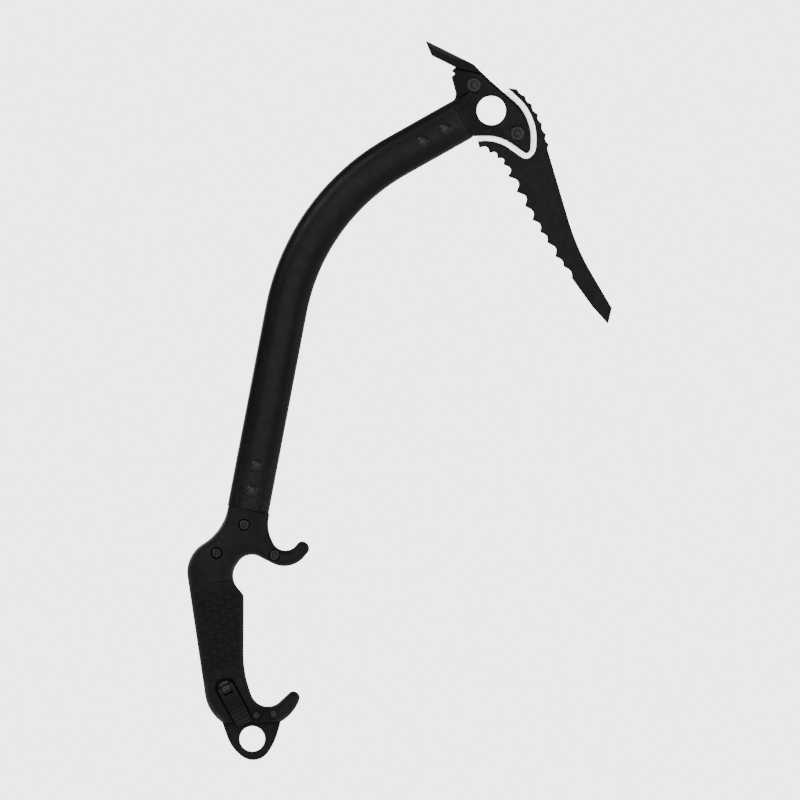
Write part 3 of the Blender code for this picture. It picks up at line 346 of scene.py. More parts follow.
class Finish:
    """A Principled material and the nodes that give it its grain."""

    def __init__(self, name, colour, metallic, roughness, specular=0.5):
        self.material = bpy.data.materials.new(name)
        self.material.use_nodes = True
        self.tree = self.material.node_tree
        self.shader = self.tree.nodes["Principled BSDF"]
        self.colour = (*colour, 1)
        fill(self.shader, Metallic=metallic, Roughness=roughness, Specular_IOR_Level=specular)
        fill(self.shader, Base_Color=self.colour)
        self.place = self.add("ShaderNodeTexCoord").outputs["Object"]
        self.normal = None

    def add(self, kind, **inputs):
        return fill(self.tree.nodes.new(kind), **inputs)

    def noise(self, size, detail, stretch=(1, 1, 1), tilt=(0, 0, 0)):
        """Noise with features of a size in millimetres, drawn out along an axis by stretch."""
        scale = [1 / (size * MM * s) for s in stretch]
        place = self.add("ShaderNodeMapping", Scale=scale, Rotation=tilt, Vector=self.place)
        noise = self.add("ShaderNodeTexNoise", Scale=1.0, Detail=detail, Vector=place.outputs[0])
        return noise.outputs["Fac"]

    def cells(self, size):
        """Rounded pits of a size in millimetres, as a spark-eroded mould leaves them."""
        place = self.add("ShaderNodeMapping", Scale=[1 / (size * MM)] * 3, Vector=self.place)
        cells = self.add("ShaderNodeTexVoronoi", Scale=1.0, Vector=place.outputs[0])
        cells.feature = "SMOOTH_F1"
        return cells.outputs["Distance"]

    def ranged(self, value, low, high, start=0.3, end=0.7):
        """A value from start to end, turned into one from low to high."""
        span = self.add("ShaderNodeMapRange", From_Min=start, From_Max=end, Value=value)
        return fill(span, To_Min=low, To_Max=high).outputs["Result"]

    def bump(self, height, depth):
        """Relief of a depth in millimetres, added to what is there."""
        bump = self.add("ShaderNodeBump", Distance=depth * MM, Strength=1.0, Height=height)
        if self.normal:
            fill(bump, Normal=self.normal)
        self.normal = bump.outputs["Normal"]
        fill(self.shader, Normal=self.normal)

    def grained(self, depth, *noise):
        """Relief of a depth in millimetres from noise."""
        self.bump(self.noise(*noise), depth)

    def dulled(self, low, high, *noise):
        """Roughness that varies with noise."""
        fill(self.shader, Roughness=self.ranged(self.noise(*noise), low, high))

    def mottled(self, other, share, *noise):
        """Patches of noise tinted towards another colour."""
        self.tint(self.ranged(self.noise(*noise), 0, share), other)

    def tint(self, share, other):
        """Mixes the base colour towards another one where share is high."""
        mix = self.add("ShaderNodeMix")
        mix.data_type = "RGBA"
        first, second = [socket for socket in mix.inputs if socket.type == "RGBA"]
        base = self.shader.inputs["Base Color"]
        if base.is_linked:
            self.tree.links.new(base.links[0].from_socket, first)
        else:
            first.default_value = self.colour
        second.default_value = (*other, 1)
        self.tree.links.new(share, mix.inputs[0])
        fill(self.shader, Base_Color=[socket for socket in mix.outputs if socket.type == "RGBA"][0])

    def wear(self, bare, start, end, amount):
        """Rubbed convex edges, broken up by patches."""
        pointiness = self.add("ShaderNodeNewGeometry").outputs["Pointiness"]
        edge = self.ranged(pointiness, 0, amount, start, end)
        patch = self.ranged(self.noise(2.2, 6.0), 0, 1, 0.42, 0.62)
        product = self.add("ShaderNodeMath")
        product.operation = "MULTIPLY"
        self.tree.links.new(edge, product.inputs[0])
        self.tree.links.new(patch, product.inputs[1])
        self.tint(product.outputs[0], bare)
        if bare[0] > BARE_METAL:
            fill(self.shader, Metallic=product.outputs[0])


def anodised():
    """Bead-blasted aluminium, black anodised."""
    finish = Finish("black_anodised", (0.0022, 0.0022, 0.0025), 0.0, 0.36, 0.07)
    finish.mottled((0.0045, 0.0045, 0.005), 0.6, 14, 5)
    finish.dulled(0.30, 0.44, 6, 6)
    finish.grained(0.02, 0.35, 3)
    finish.wear((0.05, 0.05, 0.053), 0.54, 0.60, 0.4)
    return finish.material


def coated_steel(name, forged):
    """Black coated steel; a forging keeps a faint skin of scale under the coat."""
    finish = Finish(name, (0.002, 0.002, 0.0023), 0.0, 0.42, 0.07)
    finish.mottled((0.0045, 0.0045, 0.0048), 0.6, 9, 6)
    finish.dulled(0.36, 0.54, 3.5, 6)
    if forged:
        finish.grained(0.09, 2.4, 3)
    finish.grained(0.025, 0.3, 4)
    finish.wear((0.32, 0.32, 0.33), 0.56, 0.66, 0.22)
    return finish.material


def ground_steel():
    """Bare seat, surface ground: fine scratches along one direction."""
    finish = Finish("ground_steel", (0.93, 0.93, 0.935), 1.0, 0.42)
    scratched = ((1, 1, 30), (0, 0.6, 0))
    finish.mottled((0.80, 0.80, 0.81), 0.3, 0.25, 3, *scratched)
    finish.dulled(0.36, 0.50, 0.4, 3, *scratched)
    finish.grained(0.006, 0.12, 2, *scratched)
    return finish.material


def moulded_nylon():
    """Glass-filled nylon with a spark-eroded grain."""
    finish = Finish("moulded_nylon", (0.0028, 0.0028, 0.003), 0.0, 0.55, 0.08)
    finish.mottled((0.0055, 0.0055, 0.006), 0.6, 7, 5)
    finish.dulled(0.48, 0.64, 4, 5)
    finish.bump(finish.cells(0.55), 0.05)
    finish.grained(0.02, 0.2, 3)
    finish.wear((0.022, 0.022, 0.024), 0.55, 0.62, 0.6)
    return finish.material


def moulded_rubber():
    """Matt rubber, a little dusty in its texture."""
    finish = Finish("moulded_rubber", (0.003, 0.003, 0.0033), 0.0, 0.75, 0.09)
    finish.mottled((0.0065, 0.0065, 0.007), 0.6, 5, 6)
    finish.dulled(0.62, 0.84, 2.5, 5)
    finish.grained(0.045, 0.28, 4)
    return finish.material


def black_oxide():
    """Turned steel, blackened, with a soft gloss."""
    finish = Finish("black_oxide", (0.009, 0.009, 0.010), 0.7, 0.3, 0.2)
    finish.mottled((0.017, 0.017, 0.017), 0.7, 1.2, 5)
    finish.dulled(0.24, 0.40, 1.6, 5)
    finish.grained(0.008, 0.12, 3)
    finish.wear((0.06, 0.06, 0.062), 0.54, 0.62, 0.5)
    return finish.material


# ---- outlines

def setback(before, corner, after, radius):
    """How far from its corner a fillet starts."""
    half = (before - corner).angle(after - corner) / 2
    return radius / math.tan(half) if half < math.radians(89.5) else 0.0


def fillet(before, corner, after, radius):
    """Points of the arc that rounds one corner, or the corner itself."""
    to_before = (before - corner).normalized()
    to_after = (after - corner).normalized()
    half = to_before.angle(to_after) / 2
    if radius <= 0 or half > math.radians(89.5):
        return [corner]
    centre = corner + (to_before + to_after).normalized() * (radius / math.sin(half))
    start = corner + to_before * (radius / math.tan(half)) - centre
    end = corner + to_after * (radius / math.tan(half)) - centre
    turn = start.angle_signed(end)
    steps = max(1, math.ceil(abs(turn) / (2 * math.acos(max(0.5, 1 - SAGITTA / radius)))))
    # angle_signed is positive clockwise, so the arc turns by its negative.
    return [centre + Matrix.Rotation(-turn * k / steps, 2) @ start for k in range(steps + 1)]


def rounded(corners, closed=True):
    """Outline through (x, z, fillet radius) corners; fillets that would run into each other shrink."""
    spots = [Vector((x, z)) for x, z, _ in corners]
    count = len(spots)
    radii = [radius for _, _, radius in corners]
    if not closed:
        radii[0] = radii[-1] = 0
    setbacks = [setback(spots[k - 1], spots[k], spots[(k + 1) % count], radii[k]) for k in range(count)]
    shares = [1.0] * count
    for k in range(count if closed else count - 1):
        after = (k + 1) % count
        needed = setbacks[k] + setbacks[after]
        if needed > 0:
            fit = min(1.0, 0.98 * (spots[after] - spots[k]).length / needed)
            shares[k] = min(shares[k], fit)
            shares[after] = min(shares[after], fit)
    points = []
    for k in range(count):
        points += fillet(spots[k - 1], spots[k], spots[(k + 1) % count], radii[k] * shares[k])
    return points


def toothed(row, place):
    """Corners of a row of teeth: each tip, then the rounded notch that follows it."""
    corners = []
    for (x, z, depth, radius), (next_x, next_z, _, _) in zip(row[:-1], row[1:]):
        step = Vector((next_x - x, next_z - z))
        inward = Vector((-step.y, step.x))
        notch = Vector((x, z)) + step * place + inward * depth
        corners += [(x, z, 0), (notch.x, notch.y, radius)]
    return corners + [(row[-1][0], row[-1][1], 0)]


def clipped(outline, place, normal):
    """The part of an outline on the side of a line that its normal points to."""
    kept = []
    for start, end in zip(outline, outline[1:] + outline[:1]):
        a = (start - place).dot(normal)
        b = (end - place).dot(normal)
        if a >= 0:
            kept.append(start)
        if (a >= 0) != (b >= 0):
            kept.append(start.lerp(end, a / (a - b)))
    return kept


def circle(centre, radius, count=96):
    angles = [2 * math.pi * k / count for k in range(count)]
    return [centre + Vector((math.cos(a), math.sin(a))) * radius for a in angles]


def spaced(points, spacing, closed=True):
    """The same outline with its long straight stretches divided."""
    result = []
    ends = points[1:] + points[:1] if closed else points[1:]
    for start, end in zip(points, ends):
        parts = max(1, round((end - start).length / spacing))
        result += [start.lerp(end, k / parts) for k in range(parts)]
    return result if closed else result + [points[-1]]


def with_neighbours(loop):
    """Each point of a closed outline between the one before it and the one after it."""
    return zip(loop[-1:] + loop[:-1], loop, loop[1:] + loop[:1])


def grown(loop, margin):
    """A closed outline moved outward by a margin, for a pocket with clearance."""
    ring = []
    for before, corner, after in with_neighbours(loop):
        along = (corner - before).normalized() + (after - corner).normalized()
        out = Vector((along.y, -along.x)).normalized()
        if inside(loop, np.array([tuple(corner + out * 0.05)]))[0]:
            out = -out
        ring.append(corner + out * margin)
    return ring


def inside(loop, points):
    """For each point, whether it lies within a closed outline."""
    x, y = points.T
    result = np.zeros(len(points), bool)
    for start, end in zip(loop, loop[1:] + loop[:1]):
        if start.y != end.y:
            reach = start.x + (y - start.y) * (end.x - start.x) / (end.y - start.y)
            result ^= ((start.y > y) != (end.y > y)) & (x < reach)
    return result


def distance(lines, points, closed=True):
    """For each point, how far it is from a set of polylines."""
    nearest = np.full(len(points), 1e9)
    for line in lines:
        ends = line[1:] + line[:1] if closed else line[1:]
        for start, end in zip(line, ends):
            span = np.array(end - start)
            offset = points - np.array(start)
            share = np.clip(offset @ span / max(span @ span, 1e-9), 0, 1)
            nearest = np.minimum(nearest, np.hypot(*(offset - share[:, None] * span).T))
    return nearest


# ---- meshes

def in_space(spot, y=0.0):
    """A side-view place, in millimetres, as a point in the frame."""
    return Vector((spot.x, y, spot.y)) * MM


def piece(name, mesh, finish, body, slot, *nodes):
    """A finished piece that rides on a body and stands for CAD nodes."""
    made = bpy.data.objects.new(name, mesh)
    bpy.context.scene.collection.objects.link(made)
    mesh.materials.clear()
    mesh.materials.append(finish)
    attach(made, body)
    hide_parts(*nodes)


def evaluated(mesh, kind, **settings):
    """A mesh after one modifier."""
    holder = bpy.data.objects.new("holder", mesh)
    bpy.context.scene.collection.objects.link(holder)
    step = holder.modifiers.new("step", kind)
    for key, value in settings.items():
        setattr(step, key, value)
    graph = bpy.context.evaluated_depsgraph_get()
    result = bpy.data.meshes.new_from_object(holder.evaluated_get(graph))
    bpy.data.objects.remove(holder)
    return result


def read(rows, key):
    """Three numbers of each row, as an array."""
    values = np.zeros(len(rows) * 3)
    rows.foreach_get(key, values)
    return values.reshape(-1, 3)


def moved_to(mesh, spots):
    """Puts the vertices at the given places."""
    mesh.vertices.foreach_set("co", spots.ravel())
    mesh.update()


def evened(mesh, rounds):
    """Moves vertices towards their neighbours and partly back, which rounds without shrinking."""
    ends = np.zeros(len(mesh.edges) * 2, int)
    mesh.edges.foreach_get("vertices", ends)
    first, second = ends.reshape(-1, 2).T
    count = len(mesh.vertices)
    degree = np.bincount(np.concatenate([first, second]), minlength=count)
    spots = read(mesh.vertices, "co")
    for _ in range(rounds):
        for share in (0.5, -0.52):
            total = np.zeros_like(spots)
            for axis in range(3):
                total[:, axis] = np.bincount(first, spots[second, axis], count)
                total[:, axis] += np.bincount(second, spots[first, axis], count)
            spots = spots + share * (total / degree[:, None] - spots)
    moved_to(mesh, spots)


def cast(name, mesh, finish, body, slot, *nodes, shape=None):
    """A piece remeshed and evened out, which rounds its edges, then shaped, and thinned where flat."""
    voxel, rounds, keep = RECAST[name]
    fine = evaluated(mesh, "REMESH", mode="VOXEL", voxel_size=voxel * MM, use_smooth_shade=True)
    evened(fine, rounds)
    if shape:
        outward = read(fine.vertex_normals, "vector")
        moved_to(fine, shape(read(fine.vertices, "co") / MM, outward) * MM)
    thin = evaluated(fine, "DECIMATE", ratio=keep)
    thin.shade_smooth()
    piece(name, thin, finish, body, slot, *nodes)


def carved(mesh, *cutters):
    """A mesh less its cutters."""
    return combined(mesh, "DIFFERENCE", cutters)


def combined(mesh, operation, others):
    """A closed mesh joined with others or cut by them."""
    for other in others:
        tool = bpy.data.objects.new("tool", other)
        bpy.context.scene.collection.objects.link(tool)
        mesh = evaluated(mesh, "BOOLEAN", operation=operation, solver="MANIFOLD", object=tool)
        bpy.data.objects.remove(tool)
    return mesh


def averaged(levels, first, second, free, passes):
    """Heights evened out with their neighbours', so that a crown has no ridge down its middle."""
    degree = np.maximum(np.bincount(np.concatenate([first, second]), minlength=len(levels)), 1)
    for _ in range(passes):
        total = np.bincount(first, levels[second], len(levels))
        total += np.bincount(second, levels[first], len(levels))
        levels = np.where(free, (levels + total / degree) / 2, levels)
    return levels


def relief(outline, front, back, holes=(), grid=1.0, depths=(0.12, 0.35, 0.7), soft=None, passes=0):
    """Solid inside an outline, from y = back(points) to y = front(points), with through holes."""
    loops = [outline, *holes]
    points = []
    edges = []
    for loop in loops:
        first = len(points)
        points += loop
        edges += [(first + k, first + (k + 1) % len(loop)) for k in range(len(loop))]
    spots = np.array([tuple(p) for p in outline])
    low = spots.min(axis=0)
    high = spots.max(axis=0)
    columns, rows = np.ceil((high - low) / grid).astype(int)
    seeds = []
    for row in range(rows):
        seeds += [(low[0] + (c + row % 2 / 2) * grid, low[1] + row * grid) for c in range(columns)]
    clear = [0.4 * grid] * len(seeds)
    for before, corner, after in with_neighbours(outline):
        along = (after - before).normalized()
        for depth in depths:
            for side in (1, -1):
                seeds.append(tuple(corner + Vector((-along.y, along.x)) * side * depth))
                clear.append(0.9 * depth)
    seeds = np.array(seeds)
    kept = inside(outline, seeds) & (distance(loops, seeds) > np.array(clear))
    for hole in holes:
        kept &= ~inside(hole, seeds)
    points += [Vector(seed) for seed in seeds[kept]]
    flat, _, triangles = delaunay_2d_cdt(points, edges, [], 1, 1e-5)[:3]
    flat = np.array([tuple(p) for p in flat])
    triangles = np.array([tuple(t) for t in triangles])
    middles = flat[triangles].mean(axis=1)
    kept = inside(outline, middles)
    for hole in holes:
        kept &= ~inside(hole, middles)
    triangles = triangles[kept]
    pairs = np.concatenate([triangles[:, [0, 1]], triangles[:, [1, 2]], triangles[:, [2, 0]]])
    directed = set(map(tuple, pairs.tolist()))
    border = [(a, b) for a, b in directed if (b, a) not in directed]
    free = soft(flat) if soft else np.zeros(len(flat), bool)
    count = len(flat)
    levels = [averaged(surface(flat), *pairs.T, free, passes) for surface in (front, back)]
    vertices = [(x * MM, y * MM, z * MM) for level in levels for (x, z), y in zip(flat, level)]
    faces = [tuple(t) for t in triangles.tolist()]
    faces += [tuple(count + index for index in reversed(face)) for face in list(faces)]
    faces += [(b, a, count + a, count + b) for a, b in sorted(border)]
    return closed_mesh(vertices, faces)


def closed_mesh(vertices, faces):
    """Mesh with its faces pointing out and no loose points."""
    mesh = bpy.data.meshes.new("closed")
    mesh.from_pydata(vertices, [], faces)
    work = bmesh.new()
    work.from_mesh(mesh)
    bmesh.ops.delete(work, geom=[v for v in work.verts if not v.link_faces], context="VERTS")
    bmesh.ops.recalc_face_normals(work, faces=work.faces)
    work.to_mesh(mesh)
    work.free()
    return mesh


def plate(outline, low, high, holes=()):
    """Flat plate from y = low to y = high."""
    return relief(outline, flat_face(high), flat_face(low), holes, 9.0, ())


def flat_face(y):
    """The face of a relief that is flat."""
    return lambda points: np.full(len(points), y)


def mirrored(height):
    """The opposite face of a relief that is the same on both sides."""
    return lambda points: -height(points)


def lofted(rings, closed=False, sharp=32):
    """Mesh over a row of rings. Closed joins the last ring to the first; otherwise ends are capped."""
    size = len(rings[0])
    count = len(rings)
    vertices = [spot for ring in rings for spot in ring]
    faces = []
    for row in range(count if closed else count - 1):
        here = row * size
        there = ((row + 1) % count) * size
        for k in range(size):
            after = (k + 1) % size
            faces.append((here + k, here + after, there + after, there + k))
    if not closed:
        faces += [tuple(range(size)), tuple(range((count - 1) * size, count * size))]
    mesh = closed_mesh(vertices, faces)
    mesh.shade_smooth()
    mesh.set_sharp_from_angle(angle=math.radians(sharp))
    return mesh


def spoke_length(radius, turn, shape="round"):
    """Radius at a turn: round, the six sides of a hexagon, or the ridges of a knurl."""
    if shape == "hex":
        return radius * math.cos(math.pi / 6) / math.cos(turn % (math.pi / 3) - math.pi / 6)
    if shape == "knurl":
        return radius * (0.975 + 0.025 * math.cos(24 * turn))
    return radius


def turned(rows, centre, axis, closed=False, sides=72):
    """Mesh of revolution. Each row is a radius, a distance along the axis, and a shape if not round."""
    axis = Vector(axis).normalized()
    side = Vector((1, 0, 0)) if abs(axis.y) > 0.9 else axis.orthogonal().normalized()
    across = axis.cross(side)
    turns = [2 * math.pi * k / sides for k in range(sides)]
    rings = []
    for radius, along, *shape in rows:
        ring = []
        for turn in turns:
            spoke = side * math.cos(turn) + across * math.sin(turn)
            ring.append(centre + (axis * along + spoke * spoke_length(radius, turn, *shape)) * MM)
        rings.append(ring)
    return lofted(rings, closed)


def both_ends(profile, low, high):
    """Rows between two levels from one end's (radius, distance inward), the other end alike."""
    return [(r, low + d) for r, d in profile] + [(r, high - d) for r, d in reversed(profile)]


def drill(place, radius, low=-THROUGH, high=THROUGH):
    """Round cutter along Y, right through or between two levels."""
    return turned([(radius, low), (radius, high)], in_space(place), (0, 1, 0))


# ---- shaft

def shaft_stations():
    """(centre, direction, shrink) along the tube, its two lips rounded."""
    start = -UPPER_WAY
    end = LOWER_WAY
    turn = start.angle(end)
    entry = SHAFT_CORNER - start * BEND_RADIUS * math.tan(turn / 2)
    centre = entry + Vector((-start.y, start.x)) * BEND_RADIUS
    top = MOUTH - start * SEAM
    foot = TAIL + end * SEAM
    stations = [(top, start, TUBE_LIP), (top + start * TUBE_LIP, start, 0)]
    for k in range(BEND_STEPS + 1):
        rotation = Matrix.Rotation(turn * k / BEND_STEPS, 2)
        stations.append((centre + rotation @ (entry - centre), rotation @ start, 0))
    return stations + [(foot - end * TUBE_LIP, end, 0), (foot, end, TUBE_LIP)]


def oval(centre, direction, half_depth, half_width):
    """Superellipse ring square to a direction in the side view."""
    outward = Vector((-direction.y, direction.x))
    ring = []
    for k in range(SHAFT_SIDES):
        turn = 2 * math.pi * k / SHAFT_SIDES
        deep = math.copysign(abs(math.cos(turn)) ** (2 / OVALNESS), math.cos(turn))
        wide = math.copysign(abs(math.sin(turn)) ** (2 / OVALNESS), math.sin(turn))
        ring.append(in_space(centre + outward * deep * half_depth, wide * half_width))
    return ring


def make_shaft():
    stations = shaft_stations()
    depth = TUBE_DEPTH / 2
    width = TUBE_WIDTH / 2
    outer = [oval(c, d, depth - shrink, width - shrink) for c, d, shrink in stations]
    inner = [oval(c, d, depth - TUBE_WALL, width - TUBE_WALL) for c, d, _ in reversed(stations)]
    piece("shaft", lofted(outer + inner, True), ANODISED, "tool", "shaft", "shaft_tube")


# ---- fasteners

def middle_of(node):
    """Centre of a node's box in the side view, and the box's two levels along Y in millimetres."""
    low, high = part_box(node)
    centre = (low + high) / 2
    return Vector((centre.x, 0, centre.z)), low.y / MM, high.y / MM


def make_screw(name, node, shank, head, head_height, socket, socket_depth):
    """Socket-headed screw with a knurled head, and three rings for a thread at its tip."""
    centre, low, high = middle_of(node)
    tip = -high
    top = -low
    seat = top - head_height
    rows = [(shank - 0.6, tip)]
    crest = tip + 0.35
    for k in range(6):
        rows.append((shank - THREAD_DEPTH * (k % 2), crest + k * THREAD_PITCH / 2))
    rows += [(shank, crest + 3 * THREAD_PITCH), (shank, seat), (head - 0.2, seat)]
    rows += [(head, seat + 0.2, "knurl"), (head, top - 0.7, "knurl"), (head - 0.2, top - 0.4)]
    rows += [(head - 0.45, top - 0.12), (head - 0.8, top), (socket + 0.25, top)]
    floor = top - socket_depth
    rows += [(socket, top - 0.25, "hex"), (socket, floor, "hex"), (0.3, floor - 0.5)]
    mesh = turned(rows, centre, (0, -1, 0), sides=144)
    piece(name, mesh, OXIDE, "tool", "fastener", node)


def make_pick_fasteners():
    for label in ("front", "rear"):
        make_screw(
            f"bolt_{label}", f"pick_bolt_{label}", BOLT_SHANK, BOLT_HEAD, BOLT_HEAD_HEIGHT,
            BOLT_SOCKET, BOLT_SOCKET_DEPTH)
        centre, near, far = middle_of(f"pick_nut_{label}")
        bore = BOLT_SHANK + 0.1
        rows = [
            (bore + 0.4, near), (NUT_RADIUS - 0.7, near), (NUT_RADIUS, near + 0.35, "hex"),
            (NUT_RADIUS, far - 0.5, "hex"), (NUT_RADIUS - 0.75, far), (bore + 0.5, far),
            (bore, far - 0.5), (bore, near + 0.4),
        ]
        mesh = turned(rows, centre, (0, 1, 0), True)
        piece(f"nut_{label}", mesh, OXIDE, "tool", "fastener", f"pick_nut_{label}")


def make_tube_rivets():
    """Cross rivets with a domed head on each side of the tube."""
    face = TUBE_WIDTH / 2 + 0.3
    dome = [(RIVET_RADIUS, face), (RIVET_HEAD, face)]
    for k in range(1, 8):
        turn = math.pi / 2 * k / 8
        dome.append((RIVET_HEAD * math.cos(turn), face + RIVET_DOME * math.sin(turn)))
    dome.append((0.25, face + RIVET_DOME))
    rows = [(radius, -y) for radius, y in reversed(dome)] + dome
    for end in ("head", "handle"):
        for place in ("upper", "lower"):
            node = f"{end}_rivet_{place}"
            mesh = turned(rows, middle_of(node)[0], (0, 1, 0))
            piece(f"{end}_cross_rivet_{place}", mesh, OXIDE, "tool", "rivet", node)


def make_shell_screws():
    for label in ("top", "rear", "hook"):
        make_screw(
            f"shell_screw_{label}", f"pommel_screw_{label}", SCREW_SHANK, SCREW_HEAD,
            SCREW_HEAD_HEIGHT, SCREW_SHANK, SCREW_SOCKET_DEPTH)


def make_eyelet_rivets():
    for label in ("rear", "front"):
        node = f"eyelet_rivet_{label}"
        centre, low, high = middle_of(node)
        end = [(0.4, 0.35), (0.9, 0.1), (1.7, 0), (2.2, 0.15), (EYELET_PIN, 0.5)]
        rows = both_ends(end, low, high)
        piece(f"eyelet_pin_{label}", turned(rows, centre, (0, 1, 0)), OXIDE, "rest", "rivet", node)


def make_clamp():
    """Washer, nut, eye bolt and cam pin of the rest's clamp."""
    centre, low, high = middle_of("clamp_washer")
    rows = both_ends([(3.5, 0.2), (3.7, 0), (5.75, 0), (6.0, 0.25)], low, high)
    piece("washer", turned(rows, centre, (0, 1, 0), True), OXIDE, "rest", "fastener", "clamp_washer")
    centre, low, high = middle_of("clamp_nut")
    rows = [
        (3.4, low + 0.3), (3.6, low), (6.3, low), (6.85, low + 0.7, "knurl"),
        (6.85, high - 1.0, "knurl"), (6.2, high - 0.2), (5.8, high),
        (3.8, high), (3.4, high - 0.4),
    ]
    mesh = turned(rows, centre, (0, 1, 0), True, 144)
    piece("knurled_nut", mesh, ANODISED, "rest", "lever", "clamp_nut")
    make_eye_bolt()
    rows = both_ends([(0.5, 0.2), (1.5, 0), (PIN_RADIUS, 0.4)], -CAM_PIN_HALF, CAM_PIN_HALF)
    piece("cam_pin", turned(rows, pin_centre(), PIN_AXIS), OXIDE, "rest", "fastener", "lever_pin")


def pin_centre():
    """Centre of the pin that the lever turns on."""
    low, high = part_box("lever_pin")
    return (low + high) / 2


def pin_rod(radius, half):
    """Round solid about the lever's pin."""
    return turned([(radius, -half), (radius, half)], pin_centre(), PIN_AXIS)


def make_eye_bolt():
    """Clamp bolt whose head is an eye round the cam's pin."""
    centre, low, high = middle_of("clamp_bolt")
    shank = [(BOLT_SHANK, pin_centre().y / MM), (BOLT_SHANK, high - 0.4), (2.5, high)]
    bolt = turned(shank, centre, (0, 1, 0))
    bolt = combined(bolt, "UNION", [pin_rod(EYE_BOLT_RADIUS, EYE_HALF)])
    mesh = carved(bolt, pin_rod(PIN_RADIUS + GAP, 9))
    cast("eye_bolt", mesh, OXIDE, "rest", "fastener", "clamp_bolt")


# ---- forged and moulded pieces

def smoothstep(low, high, values):
    share = np.clip((values - low) / (high - low), 0, 1)
    return share * share * (3 - 2 * share)


def handle_places(spots):
    """Distance below the rest's seat and distance forward of the handle's axis."""
    offset = spots[:, [0, 2]] - np.array(REST_SEAT)
    return offset @ np.array(HANDLE_DOWN), offset @ np.array(HANDLE_AHEAD)


def groove(distance, width):
    """Rounded groove across a repeated distance, one at its middle."""
    return np.exp(-(distance / (width / 2)) ** 2)


def reached(spots, down, end, way):
    """Moves the end of a handle piece along the handle, to meet its neighbour."""
    near = 1 - smoothstep(*END_REACH, np.abs(down - end))
    x, z = HANDLE_DOWN
    return spots + (near * way * SEAM)[:, None] * np.array((x, 0, z))


def grip_shape(spots, outward):
    """Crossed grooves leave raised diamonds on both sides of the grip, clear of its edges and ends."""
    down, forward = handle_places(spots)
    depth = np.zeros(len(spots))
    for slant in (DIAMOND_SLANT, -DIAMOND_SLANT):
        across = down * math.cos(slant) + forward * math.sin(slant)
        offset = (across / DIAMOND_PITCH - np.round(across / DIAMOND_PITCH)) * DIAMOND_PITCH
        depth = np.maximum(depth, groove(offset, GROOVE_WIDTH))
    sides = smoothstep(*SIDEWAYS, np.abs(outward[:, 1]))
    ends = smoothstep(*GRIP_MARGIN, -down) * smoothstep(*GRIP_MARGIN, GRIP_LENGTH + down)
    outer = smoothstep(*GRIP_SURFACE, np.abs(spots[:, 1]))
    spots = spots - outward * (GROOVE_DEPTH * depth * sides * ends * outer)[:, None]
    spots = reached(spots, down, down.max(), 1)
    return reached(spots, down, down.min(), -1)


def lever_shape(spots, outward):
    """Rounds the lever's tip in the side view and cuts thumb ribs across its outer face."""
    centre = pin_centre() / MM
    offset = spots[:, [0, 2]] - np.array((centre.x, centre.z))
    forward = np.array(LEVER_AHEAD)
    aside = np.array((-forward[1], forward[0]))
    along = offset @ forward
    sideways = offset @ aside
    tip = smoothstep(LEVER_LENGTH - 9, LEVER_LENGTH + 2, along)
    narrow = sideways * (1 - LEVER_NARROWING * tip ** 2)
    moved = spots.copy()
    moved[:, [0, 2]] += (narrow - sideways)[:, None] * aside
    depth = sum(groove(along - rib, RIB_WIDTH) for rib in LEVER_RIBS)
    moved[:, 1] += RIB_DEPTH * depth * smoothstep(0.6, 0.9, -outward[:, 1])
    return moved


def handle_point(down, forward=0.0):
    """Side-view place given down the handle from the rest's seat and ahead of the axis."""
    return REST_SEAT + Vector(HANDLE_DOWN) * down + Vector(HANDLE_AHEAD) * forward


def handle_drop(height):
    """How far below the seat, along the handle, its axis comes to a height."""
    return (REST_SEAT.y - height) / math.cos(HANDLE_LEAN)


def silhouette():
    """Back and front edges of the handle, as two open lines."""
    return [spaced(rounded(line, False), EDGE_STEP, False) for line in (HANDLE_BACK, HANDLE_FRONT)]


def crown(points):
    """Half thickness of the handle: full along its middle and rounded off to a narrow rim."""
    forward = (points - np.array(REST_SEAT)) @ np.array(Vector(HANDLE_AHEAD))
    below_tube = (points - np.array(TAIL)) @ np.array(LOWER_WAY)
    collar = COLLAR_STEP * np.maximum(0, 1 - below_tube / COLLAR_LENGTH) ** 2
    full = HANDLE_HALF - HOOK_TAPER * np.maximum(0, forward - HOOK_START) - collar
    share = 1 - np.minimum(1, distance(silhouette(), points, False) / CROWN_REACH)
    return RIM_HALF + (full - RIM_HALF) * np.sqrt(np.maximum(0, 1 - share * share))


def handle_solid(outline, front, back):
    """One length of the handle, its crown evened out away from the rim."""
    edges = silhouette()

    def soft(points):
        return (distance(edges, points, False) > SOFT_FROM_RIM) & (distance([outline], points) > 1.0)

    return relief(spaced(outline, EDGE_STEP), front, back, soft=soft, passes=CROWN_PASSES)


def whole_handle():
    back, front = silhouette()
    return back + front


def solid_copy(node):
    """Copy of a CAD solid, its split corners joined, for use as a cutter."""
    mesh = frame["nodes"][node].data.copy()
    work = bmesh.new()
    work.from_mesh(mesh)
    bmesh.ops.remove_doubles(work, verts=work.verts, dist=1e-6)
    work.to_mesh(mesh)
    work.free()
    return mesh


def make_hook_shells():
    """Left and right shells of the upper hook, screwed together through the core."""
    outline = clipped(whole_handle(), TAIL + LOWER_WAY * GAP, LOWER_WAY)
    outline = clipped(outline, handle_point(handle_drop(SLEEVE_TOP) - GAP), -Vector(HANDLE_DOWN))
    parting = GAP / 4
    core = solid_copy("handle_core")
    right = carved(handle_solid(outline, flat_face(-parting), mirrored(crown)), core)
    left = carved(handle_solid(outline, crown, flat_face(parting)), core)
    for place, floor in SCREW_RECESSES:
        right = carved(right, drill(place, SCREW_HEAD + SIDE_PLAY, -THROUGH, -floor))
    cast("hook_shell_right", right, NYLON, "tool", "hook_shell", "pommel_right")
    cast("hook_shell_left", left, NYLON, "tool", "hook_shell", "pommel_left")


